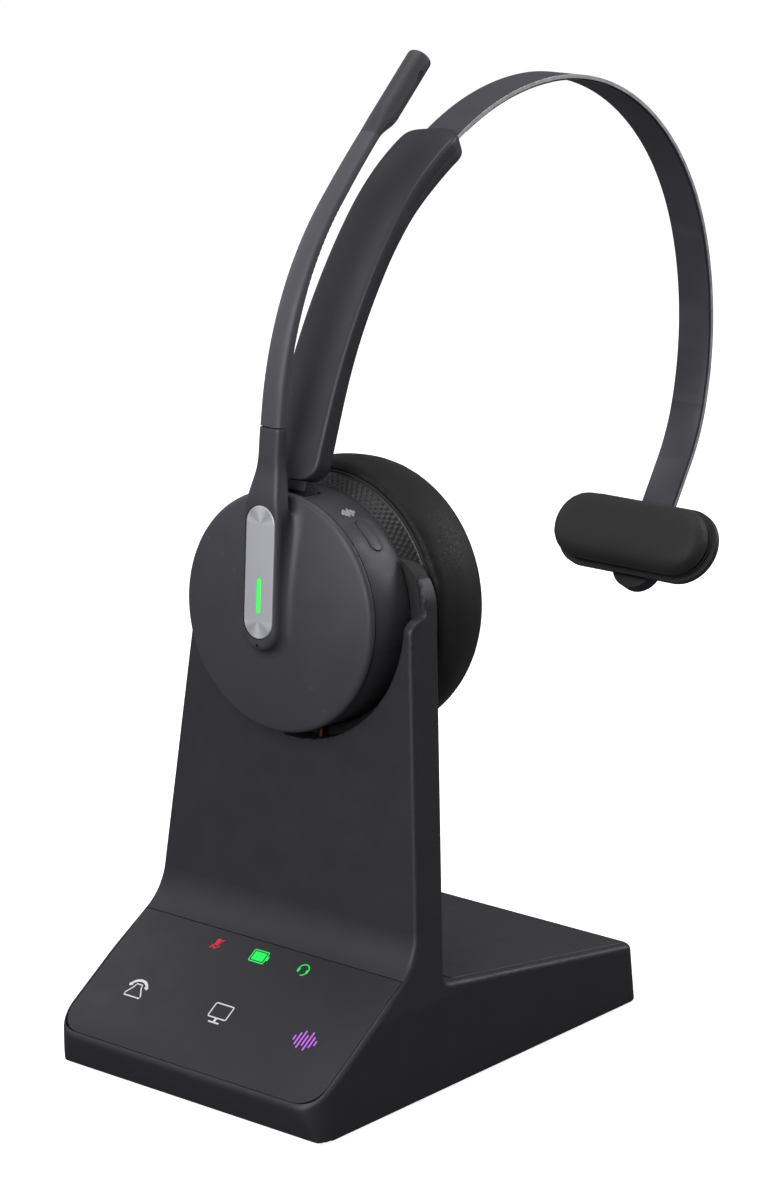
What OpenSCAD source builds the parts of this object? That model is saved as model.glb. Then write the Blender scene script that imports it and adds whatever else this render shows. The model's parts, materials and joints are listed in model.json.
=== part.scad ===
// Single-ear wireless office headset, docked on its charging stand.
// Millimetres, +Z up. The origin is on the desk, under the middle of the stand's footprint.
// X runs across the stand, the touch panel faces -Y and the headband arches back over +Y.

/* [Stand base] */
// Width of the base across its two sides
base_w = 87.8; // [86:0.2:90]
// Length of the base along its underside
base_l = 128.6; // [124:0.2:134]
// Height of the front lip's upper edge above the desk
lip_z = 9.9; // [8:0.1:12]
// How far the front lip leans out over its foot
lip_lean = 3.2; // [2:0.1:4]
// Slope of the touch panel
panel_angle = 34.2; // [32:0.1:36]
// Height of the deck's rear edge
deck_rear_z = 16.7; // [15:0.1:19]
// Slope of the deck, falling to the rear
deck_angle = 8.5; // [6:0.1:10]
// Wall thickness of the stand's mouldings
wall = 2.2; // [1.8:0.1:2.6]

/* [Upright] */
// Backward lean of the upright from vertical
upright_lean = 4.8; // [4:0.1:6]
// Thickness of the upright
upright_t = 10.8; // [10:0.1:12]
// Inside radius of the bend between the panel and the upright
bend_r = 13.2; // [11:0.1:15]
// Taper of each side of the upright
side_taper = 5.4; // [5:0.1:6]

/* [Ear cup] */
// Radius of the front disc
disc_r = 30; // [29.8:0.1:30.2]
// Height of the disc's rim centre above the desk
cup_z = 117.6; // [116:0.1:119]
// Upward tilt of the cup's axis
cup_tilt = 3; // [2:0.1:4]
// Outside radius of the ear cushion
cushion_r = 35.8; // [34:0.1:37]
// Thickness of the ear cushion
cushion_t = 20.6; // [18:0.1:22]

/* [Boom and arm] */
// Width of the microphone boom
boom_w = 6.4; // [6:0.1:7.4]
// Width of the arm
arm_w = 16.4; // [15.6:0.1:17.4]
// Thickness of the arm
arm_t = 6.2; // [6:0.1:6.6]

/* [Headband and temple pad] */
// Width of the spring steel band
band_w = 11; // [10.4:0.1:11.6]
// Thickness of the band with its soft covers
band_t = 1.5; // [1.4:0.05:1.6]
// Length of the temple pad
pad_l = 50; // [48:0.5:56]
// Height of the temple pad
pad_h = 19.5; // [18.5:0.5:22]
// Backward tilt of the temple pad's face
pad_tilt = 31; // [28:0.5:34]

/* [Hidden] */
$fn = 96;
GAP = 0.15;                       // play between neighbouring mouldings
FIT = 0.05;                       // radial play of a pin in its bore
LAP = 57.3 * 0.5;                 // lap between two arcs of a bar, degrees times its radius
HAIR = 0.03;                      // how much slimmer every second arc of a bar is, on each face
FAR = 400;                        // longer than the object, for cutting tools

foot_gap = 0.8;                   // the shell's skirt stands this far off the desk
front_y = -base_l / 2 + 0.3;      // front lower edge of the base
rear_y = base_l / 2 + 0.3;        // rear lower edge of the base
lip_y = front_y - lip_lean;
panel_len = 42;                   // length of the slope from the lip to the bend
panel_dir = [cos(panel_angle), sin(panel_angle)];
panel_nrm = [-sin(panel_angle), cos(panel_angle)];
bend_start = [lip_y, lip_z] + panel_len * panel_dir;
bend_c = bend_start + bend_r * panel_nrm;
up_dir = [sin(upright_lean), cos(upright_lean)];
up_nrm = [cos(upright_lean), -sin(upright_lean)];
bend_end = bend_c + bend_r * up_nrm;
upright_y0 = bend_end[0] - bend_end[1] * tan(upright_lean);   // the front plane's y at desk level
deck_rear_y = rear_y - 2.25;
deck_front_y = -21.4;
deck_front_z = deck_rear_z + (deck_rear_y - deck_front_y) * tan(deck_angle);
front_corner_r = 8.5;
rear_corner_r = 4.5;
taper_z = 25;                     // the sides are upright below this height
screw_points = [for (x = [-36, 36]) for (y = [-50, 54]) [x, y]];
socket_xs = [-24, -8, 12];        // the USB sockets, across the rear face
socket_z = 7.6;                   // top face of the main board, on which they stand
cover_z0 = 50;                    // lower and upper edges of the upright's back cover
cover_z1 = 78;

cup_y = upright_y0 + 1.35;        // the disc's rim stands just ahead of the upright
cup_h = cup_z * cos(upright_lean) + 1.35 * sin(upright_lean);  // cup centre along the upright
cup_wall_r = disc_r - 0.3;
rim_t = 1.5;                      // width of the disc's rim
bulkhead_d = 1.8;                 // front face of the cup's bulkhead, behind the rim plane
cup_back_d = 14.6;                // where the cup wall meets the vent ring
ring_back_d = 19.2;               // where the vent ring meets the cushion
ring_r = disc_r + 2.5;
dome_h = 4.2;                     // crown of the disc
dome_r = (disc_r * disc_r + dome_h * dome_h) / (2 * dome_h);
tongue_d = 7.4;                   // the raised tongue's face, ahead of the rim plane
tongue_w = 11.4;
pill_w = 9.1;
pill_top = 27.5;
pill_bottom = -5.5;
pill_t = 2.2;
notch_r = disc_r + 2.5;           // front layer of the cradle
pocket_r = disc_r + 3.4;          // rear layer, which holds the soft liner
step_d = 5.5;                     // depth of the front layer of the cradle
horn_u = 3;                       // horn tips above the cup's centre
crest_u = 17;                     // top of the rear layer above the cup's centre
crest_r = 12;
pin_x = 5;                        // charging pins, either side of the middle
pin_d = 12;
pin_r = 0.9;
pin_tip = -disc_r - 0.05;
hub_r = 7;
tilt_d = 6;                       // cup tilt axis, in the cup's frame
tilt_u = 25.3;
tilt_r = 1.25;
control_d = 9;                    // depth of the controls in the cup's wall
voice_a = 46;                     // places of the controls round the wall, above +X
slider_a = 128;
rocker_a = 158;
rocker_pin_r = 0.55;
slot_w = 11;                      // opening for the neck in the top of the cup's wall

arm_foot = [-24.5, 150.5];        // lower end of the arm's outer face
// Arcs are [radius, start angle, end angle] of the outer face, seen from +X
arm_arcs = [[473, 161, 158.7], [153, 158.7, 140], [68, 140, 111.5]];
arm_waist_c = [93.8, 125.1];      // centre and radius of the hollow in the arm's inner face
arm_waist_r = 116.1;
arm_top_r = 7;                    // rounding of the arm's upper and lower corners
arm_foot_r = 5;
swivel_r = 1.5;
swivel_depth = 2.5;               // the swivel's axis, below the arm's outer face
arm_base_dir = arm_arcs[0][1] - 90;
arm_mid = arm_foot + swivel_depth * [sin(arm_base_dir), -cos(arm_base_dir)];
arm_end = arc_point(arm_foot, arm_arcs, 2, arm_arcs[2][2], 0);
arm_end_dir = arm_arcs[2][2] - 90;
arm_screws_at = [[156.6, 4.6], [149, 4.4]];   // angle on the long arc, depth of the inner face
yoke_drop = 2.6;                  // how far the neck's shoulder hangs under the arm

band_c = [75.6, 154.2];           // centre of the band's first arc, about which it slides
band_r = 85;
band_tail_a = 140;
band_start = band_c + band_r * [cos(band_tail_a), sin(band_tail_a)];
band_arcs = [[band_r, band_tail_a, 92], [70.4, 92, 18], [88, 18, -14], [55, -14, -32]];
band_end_len = 25.5;
band_last = arc_point(band_start, band_arcs, 3, band_arcs[3][2], 0);
band_last_dir = band_arcs[3][2] - 90;
liner_t = 0.45;                   // the soft cover on the band's inner face

boom_foot = [-33.2, 143.4];       // lower end of the boom's outer face
boom_arcs = [[258, 178.6, 172.8], [89, 172.8, 156.1], [81.5, 156.1, 137.8], [298, 137.8, 133.6]];
boom_t = 3.2;
stem_a = 174;                     // the disc's stem ends and the soft boom begins here
mic_dir = boom_arcs[3][2] - 90;
mic_foot = arc_point(boom_foot, boom_arcs, 3, boom_arcs[3][2], boom_t / 2);
mic_len = 26;
mic_r = 3.2;
mic_edge_r = 1;

pad_y = 119.5;
pad_z = 108.4;
plate_t = 1.6;
pad_t = 7.4;
pad_pivot_d = 5.2;                // the pad's hinge, behind and below its middle
pad_pivot_v = -5;
pad_pin_r = 0.9;
cap_d0 = 3.2;                     // front and back faces of the band's end cap
cap_d1 = 7.2;

shell_colour = [0.19, 0.19, 0.21];
soft_colour = [0.16, 0.16, 0.16];
metal_colour = [0.7, 0.7, 0.72];
board_colour = [0.1, 0.35, 0.2];
brass_colour = [0.8, 0.65, 0.3];

// ---- Frames and shared shapes ----

// Draws a 2D shape, given as (y, z), as a slab of width w across X.
module across(w) {
  rotate([90, 0, 90]) linear_extrude(w, center = true) children();
}

// The cup's own frame: +Y runs back along the cup's axis from the rim plane, +Z is up.
module cup_frame() {
  translate([0, cup_y, cup_z]) rotate([-cup_tilt, 0, 0]) children();
}

// The upright's frame: +Y runs back from its front face, +Z runs up along it from desk level.
module upright_frame() {
  translate([0, upright_y0, 0]) rotate([-upright_lean, 0, 0]) children();
}

// The touch panel's frame: +Y runs up the slope from the lip, +Z stands out of it.
module panel_frame() {
  translate([0, lip_y, lip_z]) rotate([panel_angle, 0, 0]) children();
}

// The temple pad's frame: -Y is the way the pad faces, the origin is on its seam plane.
module pad_frame() {
  translate([0, pad_y, pad_z]) rotate([-pad_tilt, 0, 0]) children();
}

// Turns a profile, given as (radius, depth), about the frame's Y axis.
module turned() {
  rotate([-90, 0, 0]) rotate_extrude() children();
}

// A ring about the Y axis from depth d0 to d1.
module ring(r_in, r_out, d0, d1) {
  turned() translate([r_in, d0]) square([r_out - r_in, d1 - d0]);
}

// A disc about the Y axis from depth d0 to d1.
module disc(r, d0, d1) {
  translate([0, d0, 0]) rotate([-90, 0, 0]) cylinder(r = r, h = d1 - d0);
}

// A flat stadium, w wide and l long, with its length along the second axis.
module stadium(w, l) {
  square([w, l - w], center = true);
  for (side = [-1, 1]) translate([0, side * (l - w) / 2]) circle(d = w);
}

// A stadium in the X-Z plane from depth d0 to d1, standing upright between two heights.
module upright_pill(w, z0, z1, d0, d1) {
  translate([0, d1, (z0 + z1) / 2]) rotate([90, 0, 0]) linear_extrude(d1 - d0) stadium(w, z1 - z0);
}

// A stadium on the cup's wall, at an angle above +X, from radius r0 to r1.
module wall_pill(angle, depth, w, l, r0, r1) {
  rotate([0, -angle, 0]) translate([r0, depth, 0])
    rotate([90, 0, 90]) linear_extrude(r1 - r0) stadium(w, l);
}

// Centre of arc i in a chain of tangent arcs that starts at point p.
function arc_centre(p, arcs, i) =
  i == 0 ? p - arcs[0][0] * [cos(arcs[0][1]), sin(arcs[0][1])]
  : arc_centre(p, arcs, i - 1) + (arcs[i - 1][0] - arcs[i][0]) * [cos(arcs[i][1]), sin(arcs[i][1])];

// Point on arc i of a chain at an angle, off below its outer face.
function arc_point(p, arcs, i, angle, off) =
  arc_centre(p, arcs, i) + (arcs[i][0] - off) * [cos(angle), sin(angle)];

// A curved bar across X, bent about c: its outer radius is r.
module bow(c, r, t, a0, a1, w) {
  translate([0, c[0], c[1]]) rotate([90, 0, 90]) rotate([0, 0, a0])
    rotate_extrude(angle = a1 - a0) translate([r - t, -w / 2]) square([t, w]);
}

// The bar along arcs first to last of a chain, from off to off + t below the outer face.
// Each odd arc is a hair slimmer and laps into both its neighbours, so that the bar is one piece.
module bow_chain(p, arcs, first, last, off, t, w) {
  for (i = [first : last]) {
    slim = i % 2 == 1 ? HAIR : 0;
    lap = i % 2 == 1 ? LAP / arcs[i][0] : 0;
    a0 = arcs[i][2] - (i < last ? lap : 0);
    a1 = arcs[i][1] + (i > 0 ? lap : 0);
    bow(arc_centre(p, arcs, i), arcs[i][0] - off - slim, t - 2 * slim, a0, a1, w - 2 * slim);
  }
}

// A frame at a point of the Y-Z plane whose +Z runs along a direction above +Y.
module along(p, dir) {
  translate([0, p[0], p[1]]) rotate([dir - 90, 0, 0]) children();
}

// A closed skin over a list of rings of points, all of one length.
module skin(rings) {
  n = len(rings[0]);
  m = len(rings);
  polyhedron(
    points = [for (loop = rings) each loop],
    faces = concat(
      [[for (j = [n - 1 : -1 : 0]) j]],
      [for (i = [0 : m - 2]) for (j = [0 : n - 1])
        [i * n + j, i * n + (j + 1) % n, (i + 1) * n + (j + 1) % n, (i + 1) * n + j]],
      [[for (j = [0 : n - 1]) (m - 1) * n + j]]
    )
  );
}

// ---- Stand ----

// Half the width of the stand at a height.
function half_w(z) = base_w / 2 - max(0, z - taper_z) * tan(side_taper);

// The base's side outline, drawn in by an even margin.
module base_outline(margin) {
  foot_z = foot_gap - (margin > 0 ? 5 : 0);
  inner_a = panel_angle - 84;
  polygon([
    [front_y + margin, foot_z],
    [lip_y + margin, lip_z - margin / 2],
    bend_start - margin * panel_nrm,
    bend_c + (bend_r + upright_t * 0.45) * [cos(inner_a), sin(inner_a)],
    [deck_front_y - 2.6, deck_front_z + 2.6 * tan(deck_angle) - margin],
    [deck_rear_y - margin, deck_rear_z - margin],
    [rear_y - margin, foot_z]
  ]);
}

// The bend's side outline: a hair slimmer than the base and the upright, and lapping into both.
module bend_outline(margin) {
  lap = 2;
  a0 = panel_angle - 90 - lap;
  a1 = lap - upright_lean;
  translate(bend_c) difference() {
    circle(bend_r + upright_t - HAIR - margin);
    circle(bend_r + HAIR + margin);
    polygon([
      [0, 0], 60 * [cos(a1), sin(a1)], [60, 60], [-60, 60], [-60, -60], 60 * [cos(a0), sin(a0)]
    ]);
  }
}

// The upright's side outline.
module upright_outline(margin) {
  top = cup_h + crest_u - margin;
  polygon([
    bend_end + margin * up_nrm,
    [upright_y0, 0] + top * up_dir + margin * up_nrm,
    [upright_y0, 0] + top * up_dir + (upright_t - margin) * up_nrm,
    bend_end + (upright_t - margin) * up_nrm
  ]);
}

// Front outline of the stand, drawn in by a margin: straight base, tapered upright, rounded crest.
module front_outline(margin) {
  top = cup_z + crest_u - 0.6;
  crest_z = top - crest_r;
  crest_x = half_w(crest_z) - crest_r;
  polygon([
    [-half_w(0) + margin, -FAR / 10],
    [half_w(0) - margin, -FAR / 10],
    [half_w(0) - margin, taper_z],
    [half_w(crest_z) - margin, crest_z],
    [-half_w(crest_z) + margin, crest_z],
    [-half_w(0) + margin, taper_z]
  ]);
  for (side = [-1, 1]) translate([side * crest_x, crest_z]) circle(crest_r - margin);
  translate([-crest_x, crest_z - 1]) square([2 * crest_x, crest_r - margin + 1]);
}

// Plan outline of the base, drawn in by a margin, with its corners rounded.
module plan_outline(margin) {
  fr = front_corner_r - margin / 2;
  rr = rear_corner_r - margin / 2;
  w = base_w / 2 - margin;
  y0 = lip_y + margin;
  y1 = rear_y - margin;
  for (side = [-1, 1]) {
    translate([side * (w - fr), y0 + fr]) circle(fr);
    translate([side * (w - rr), y1 - rr]) circle(rr);
  }
  translate([-w + fr, y0]) square([2 * (w - fr), fr]);
  translate([-w + rr, y1 - rr]) square([2 * (w - rr), rr]);
  translate([-w, y0 + fr]) square([2 * w, y1 - rr - y0 - fr]);
}

// The stand's outer or inner form.
module stand_form(margin) {
  intersection() {
    union() {
      across(base_w + 2) base_outline(margin);
      across(base_w + 2) bend_outline(margin);
      across(base_w + 2) upright_outline(margin);
    }
    translate([0, FAR / 2, 0]) rotate([90, 0, 0]) linear_extrude(FAR) front_outline(margin);
    translate([0, 0, -FAR / 10]) linear_extrude(FAR) plan_outline(margin);
  }
}

// The touch panel's outline in its own frame, drawn in by a margin.
module panel_outline(margin) {
  w = base_w / 2 - 1.3 - margin;
  r = front_corner_r - 1.3 - margin / 2;
  y0 = 1.3 + margin;
  for (side = [-1, 1]) translate([side * (w - r), y0 + r]) circle(r);
  translate([-w + r, y0]) square([2 * (w - r), r]);
  translate([-w, y0 + r]) square([2 * w, panel_len - 0.4 - margin - y0 - r]);
}

// The deck cover's outline, set in from the base's edges, in plan.
module deck_plan(margin) {
  inset = 2.6 + margin;
  y0 = -12 + margin;
  y1 = deck_rear_y - inset;
  translate([-base_w / 2 + inset, y0]) square([base_w - 2 * inset, y1 - y0]);
}

// A slab of thickness t under the deck's sloping face, starting at a depth.
module deck_slab(depth, t) {
  across(base_w) polygon([
    [deck_front_y, deck_front_z - depth], [deck_rear_y, deck_rear_z - depth],
    [deck_rear_y, deck_rear_z - depth - t], [deck_front_y, deck_front_z - depth - t]
  ]);
}

module back_cover_outline(margin) {
  polygon([
    for (side = [-1, 1]) [side * (half_w(cover_z0) - 3 - margin), cover_z0 + margin],
    for (side = [1, -1]) [side * (half_w(cover_z1) - 3 - margin), cover_z1 - margin]
  ]);
}

module stand_housing() {
  color(shell_colour) difference() {
    stand_form(0);
    // hollow inside, with a wall left round the cradle
    difference() {
      stand_form(wall);
      cup_frame() disc(notch_r + wall, -5, 30);
      for (p = screw_points) translate([p[0], p[1], foot_gap + wall]) {
        cylinder(r = 3.4, h = FAR);
        translate([p[0] < 0 ? -8 : 0, -1.5, 0]) cube([8, 3, FAR]);
      }
    }
    // cradle: the front layer is cut away above the horns
    cup_frame() disc(notch_r, -12, 14.2);
    cup_frame() disc(pocket_r, 14.1, 30);
    upright_frame() translate([-FAR / 2, -5, cup_h + horn_u]) cube([FAR, 5 + step_d, 60]);
    // seats of the touch panel, the deck cover and the upright's back cover
    panel_frame() translate([0, 0, -1.7]) linear_extrude(5) panel_outline(0);
    panel_frame() translate([0, 0, -9]) linear_extrude(9) panel_outline(3);
    intersection() {
      deck_slab(-2, 2 + 1.2);
      linear_extrude(FAR) deck_plan(0);
    }
    upright_frame() translate([0, upright_t + 1, 0]) rotate([90, 0, 0])
      linear_extrude(1 + 1.5) back_cover_outline(0);
    // screw holes, sockets and charging pins
    for (p = screw_points) translate([p[0], p[1], 0]) cylinder(r = 1.1, h = 12);
    for (x = socket_xs) translate([x, rear_y, socket_z + 1.7]) cube([9.4, 12, 3.6], center = true);
    cup_frame() for (side = [-1, 1])
      translate([side * pin_x, pin_d, -40]) cylinder(r = pin_r + FIT, h = 10);
  }
}

module cradle_liner() {
  color(soft_colour) difference() {
    intersection() {
      cup_frame() ring(disc_r + 0.2, pocket_r - 0.05, 14.25, 18.9);
      translate([0, FAR / 2, 0]) rotate([90, 0, 0]) linear_extrude(FAR) front_outline(1.2);
    }
    cup_frame() turned() polygon([
      [0, 14], [disc_r + 0.2, 14], [disc_r + 0.2, cup_back_d],
      [ring_r + 0.1, ring_back_d], [0, ring_back_d]
    ]);
  }
}

module upright_back_cover() {
  color(shell_colour) upright_frame() translate([0, upright_t, 0]) rotate([90, 0, 0])
    linear_extrude(1.45) back_cover_outline(GAP);
}

module deck_cover() {
  color(shell_colour) intersection() {
    deck_slab(0, 1.15);
    linear_extrude(FAR) deck_plan(GAP);
  }
}

module touch_panel() {
  color(shell_colour) panel_frame() translate([0, 0, -1.65]) linear_extrude(1.6) panel_outline(GAP);
}

module icon_light_guide() {
  color("white") panel_frame() translate([0, 0, -3.2]) linear_extrude(1.5) panel_outline(3 + GAP);
}

module touch_board() {
  color(board_colour) panel_frame() translate([0, 0, -4.6]) linear_extrude(1.2) panel_outline(5);
}

module base_plate() {
  color(shell_colour) difference() {
    translate([0, 0, foot_gap]) linear_extrude(1.8) intersection() {
      plan_outline(wall + GAP);
      translate([-base_w / 2, front_y + wall + GAP]) square([base_w, base_l - 2 * wall - 1.4]);
    }
    linear_extrude(1.8) foot_outline(GAP);
    for (p = screw_points) translate([p[0], p[1], 0]) {
      cylinder(r = 1.2, h = 5);
      cylinder(r = 2.3, h = foot_gap + 1.1);
    }
  }
}

// Outline of the rubber pad the stand rests on, grown by a margin.
module foot_outline(margin) {
  r = 8;
  for (x = [-1, 1]) for (y = [-1, 1]) translate([x * (30 - r), y * (46 - r)]) circle(r + margin);
  square([60 + 2 * margin, 2 * (46 - r)], center = true);
  square([2 * (30 - r), 92 + 2 * margin], center = true);
}

module foot_pad() {
  color(soft_colour) linear_extrude(1.8) foot_outline(0);
}

module base_screws() {
  color(metal_colour) for (p = screw_points) translate([p[0], p[1], foot_gap + 0.2]) {
    cylinder(r = 2.1, h = 0.85);
    cylinder(r = 1.05, h = 9);
  }
}

module ballast_plate() {
  color(metal_colour) translate([-31, -42, 3.2]) cube([62, 62, 6]);
}

module main_board() {
  color(board_colour) translate([-31, 24, 6]) cube([62, 32, socket_z - 6]);
}

module usb_sockets() {
  color(metal_colour) for (x = socket_xs) translate([x, rear_y - 6, socket_z + 1.7]) {
    difference() {
      cube([9, 8, 3.3], center = true);
      translate([0, 1.5, 0]) cube([8.2, 8, 2.5], center = true);
    }
    translate([0, -1, 0]) cube([6.6, 5, 0.8], center = true);
  }
}

module antenna_board() {
  color(board_colour) upright_frame() translate([-20, 3.2, 48]) cube([40, 1, 24]);
}

module charge_pin_block() {
  color(soft_colour) cup_frame() difference() {
    translate([-9, pin_d - 1.9, -41]) cube([18, 3.8, 5.5]);
    for (side = [-1, 1]) translate([side * pin_x, pin_d, -39.5]) cylinder(r = pin_r + 0.4, h = 10);
  }
}

module charge_pins() {
  color(brass_colour) cup_frame() for (side = [-1, 1]) translate([side * pin_x, pin_d, 0]) {
    translate([0, 0, -36.6]) cylinder(r = pin_r, h = pin_tip + 36.6);
    translate([0, 0, -36.9]) cylinder(r = pin_r + 0.3, h = 0.6);
  }
}

// One coil spring standing on the origin, as a round wire swept up a helix.
module coil_spring(r, wire, h, turns) {
  steps = turns * 14;
  sides = 6;
  skin([for (i = [0 : steps]) let (a = 360 * turns * i / steps, z = h * i / steps)
    [for (j = [0 : sides - 1]) let (b = 360 * j / sides)
      [(r + wire * cos(b)) * cos(a), (r + wire * cos(b)) * sin(a), z + wire * sin(b)]]]);
}

module pin_springs() {
  color(metal_colour) cup_frame() for (side = [-1, 1])
    translate([side * pin_x, pin_d, -39.3]) coil_spring(pin_r - 0.1, 0.16, 2.1, 4);
}

// ---- Ear cup ----

module cup_housing() {
  color(shell_colour) cup_frame() difference() {
    union() {
      ring(cup_wall_r - 2, cup_wall_r, bulkhead_d, cup_back_d);
      disc(cup_wall_r, bulkhead_d, bulkhead_d + 1.6);
      disc(hub_r, -1.9, bulkhead_d + 1);
      // lugs that carry the tilt pin
      for (side = [-1, 1]) translate([side * 7.2 - 1.2, 0, 0]) {
        translate([0, tilt_d, tilt_u]) rotate([0, 90, 0]) cylinder(r = 2.4, h = 2.4);
        translate([0, bulkhead_d + 1, tilt_u - 2.4]) cube([2.4, tilt_d - bulkhead_d - 1, 4.8]);
      }
    }
    disc(hub_r - 2.2, -3, bulkhead_d + 3);
    // tilt pin and the neck's slot
    translate([-10, tilt_d, tilt_u]) rotate([0, 90, 0]) cylinder(r = tilt_r, h = 20);
    translate([-slot_w / 2, 2.45, 20]) cube([slot_w, 6.75, 15]);
    // slots for the controls and the charging contacts
    wall_pill(voice_a, control_d, 3.4 + 2 * GAP, 9.4 + 2 * GAP, 25, 32);
    wall_pill(rocker_a, control_d, 3.6 + 2 * GAP, 15 + 2 * GAP, 25, 32);
    rocker_pivot(rocker_pin_r + FIT, 5.8);
    wall_pill(slider_a, control_d, 3 + 2 * GAP, 10.4, 25, 32);
    for (side = [-1, 1]) translate([side * pin_x, pin_d, -32]) cylinder(r = 1.5, h = 8);
  }
}

module vent_ring() {
  color(shell_colour) cup_frame() turned() polygon([
    [cup_wall_r - 1.8, cup_back_d], [cup_wall_r, cup_back_d],
    [ring_r, ring_back_d], [ring_r - 2.1, ring_back_d]
  ]);
}

module cup_baffle() {
  color(shell_colour) cup_frame() difference() {
    disc(28.8, 17.2, 18.8);
    disc(13.6, 17, 19);
    for (a = [30 : 60 : 330]) rotate([0, a, 0]) translate([20, 17, 0]) rotate([-90, 0, 0])
      cylinder(r = 2, h = 3);
  }
}

module speaker_driver() {
  color(metal_colour) cup_frame() {
    turned() polygon([
      [0, 9.4], [7.5, 9.4], [7.5, 13], [15, 14.4], [15, 17.1], [13.2, 17.1], [6, 15.4], [0, 16.4]
    ]);
  }
}

module speaker_mesh() {
  color(soft_colour) cup_frame() disc(24.5, ring_back_d + 0.1, ring_back_d + 0.6);
}

module cushion_ring() {
  color(shell_colour) cup_frame() ring(25, ring_r - 0.4, ring_back_d + 0.05, ring_back_d + 1.6);
}

module ear_cushion() {
  d0 = ring_back_d + 1.8;
  mid = d0 + cushion_t / 2;
  half = cushion_t / 2;
  color(soft_colour) cup_frame() turned() union() {
    translate([cushion_r - half, mid]) circle(half);
    translate([14, d0]) square([cushion_r - half - 14, cushion_t - 1.5]);
    translate([19, d0]) square([cushion_r - half - 19, cushion_t]);
  }
}

module battery() {
  color(metal_colour) cup_frame() translate([-16, 3.9, -14]) cube([32, 4.1, 24]);
}

module headset_board() {
  color(board_colour) cup_frame() ring(9, 20.5, 8.4, 9.4);
}

module charge_contacts() {
  color(brass_colour) cup_frame() for (side = [-1, 1])
    translate([side * pin_x, pin_d, -disc_r]) cylinder(r = 1.4, h = 4);
}

// A press button in the cup's wall, its face following the wall.
module wall_button(angle, w, l, proud) {
  intersection() {
    wall_pill(angle, control_d, w, l, 26, 32);
    ring(cup_wall_r - 2, cup_wall_r + proud, 3, cup_back_d);
  }
}

module voice_button() {
  color(shell_colour) cup_frame() wall_button(voice_a, 3.4, 9.4, 0.3);
}

// The rocker's pivot, a round bar across the slot.
module rocker_pivot(r, w) {
  rotate([0, -rocker_a, 0]) translate([disc_r - 1.3, control_d - w / 2, 0]) rotate([-90, 0, 0])
    cylinder(r = r, h = w);
}

module volume_rocker() {
  color(shell_colour) cup_frame() {
    wall_button(rocker_a, 3.6, 15, 0.3);
    rocker_pivot(rocker_pin_r, 5.4);
  }
}

module power_slider() {
  color(shell_colour) cup_frame() rotate([0, -slider_a, 0]) translate([cup_wall_r - 1.8, control_d, -1.5])
    rotate([90, 0, 90]) linear_extrude(2.3) stadium(3, 6.6);
}

module tilt_pin() {
  color(metal_colour) cup_frame() translate([-8.4, tilt_d, tilt_u]) rotate([0, 90, 0])
    cylinder(r = tilt_r, h = 16.8);
}

module hub_washer() {
  color("white") cup_frame() ring(hub_r + 0.2, 11, rim_t - 0.1, bulkhead_d);
}

module hub_clip() {
  color(metal_colour) cup_frame() ring(hub_r - 2, hub_r + 1.4, -2.5, -1.9);
}

// ---- Boom, turning on the cup's hub ----

// The disc's domed body, drawn in by a margin.
module dome(margin) {
  turned() intersection() {
    translate([0, dome_r - dome_h]) circle(dome_r - margin, $fn = 360);
    translate([0, -dome_h]) square([disc_r - margin, dome_h + rim_t]);
  }
}

module disc_cap() {
  stem_c = arc_centre(boom_foot, boom_arcs, 0);
  color(shell_colour) difference() {
    union() {
      cup_frame() {
        difference() {
          dome(0);
          dome(1.6);
          translate([0, rim_t - 0.5, 0]) rotate([-90, 0, 0]) cylinder(r = disc_r - 1.6, h = 5);
        }
        ring(hub_r + FIT, hub_r + 2.4, -2.7, rim_t - 0.2);
        upright_pill(tongue_w, pill_bottom - 3, pill_top + 1.6, -tongue_d, -2.6);
        // the tongue draws in to the stem
        translate([0, -tongue_d + 4.2, 0]) rotate([90, 0, 0]) linear_extrude(4) polygon([
          [-tongue_w / 2 + 0.5, 22], [tongue_w / 2 - 0.5, 22],
          [boom_w / 2 + 0.4, 37], [-boom_w / 2 - 0.4, 37]
        ]);
      }
      bow(stem_c, boom_arcs[0][0] + 0.3, boom_t + 0.6, stem_a, boom_arcs[0][1] + 1, boom_w + 1);
    }
    cup_frame() {
      upright_pill(pill_w + 2 * GAP, pill_bottom - GAP, pill_top + GAP, -9, -4.6);
      disc(hub_r + FIT, -1.7, 5);
      disc(hub_r + 2, -2.7, -1.6);
      upright_pill(5.4, 10, 17.4, -5, -3.1);
      translate([0, -9, pill_bottom - 1.7]) rotate([-90, 0, 0]) cylinder(r = 0.4, h = 8);
    }
    // duct for the gooseneck core
    bow(stem_c, boom_arcs[0][0] - 1.1, 1.4, stem_a - 1, stem_a + 1.4, 2.2);
  }
}

module call_button() {
  color(metal_colour) cup_frame() difference() {
    upright_pill(pill_w, pill_bottom, pill_top, -tongue_d, -tongue_d + pill_t);
    upright_pill(1.4, 0.8, 9.6, -9, -4);
  }
}

module status_light() {
  color([0.45, 0.95, 0.5]) cup_frame() upright_pill(1.2, 0.9, 9.5, -tongue_d + 0.05, -tongue_d + pill_t);
}

module call_switch() {
  color(metal_colour) cup_frame() upright_pill(5, 10.2, 17.2, -4.6, -3.2);
}

module boom_sleeve() {
  color(soft_colour) difference() {
    union() {
      bow(arc_centre(boom_foot, boom_arcs, 0), boom_arcs[0][0], boom_t,
        boom_arcs[0][2], stem_a - 0.02, boom_w);
      bow_chain(boom_foot, boom_arcs, 1, 3, 0, boom_t, boom_w);
    }
    bow(arc_centre(boom_foot, boom_arcs, 0), boom_arcs[0][0] - 1.1, 1.4,
      boom_arcs[0][2], stem_a + 1, 2.2);
    bow_chain(boom_foot, boom_arcs, 1, 3, 1.1, 1.4, 2.2);
  }
}

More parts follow.
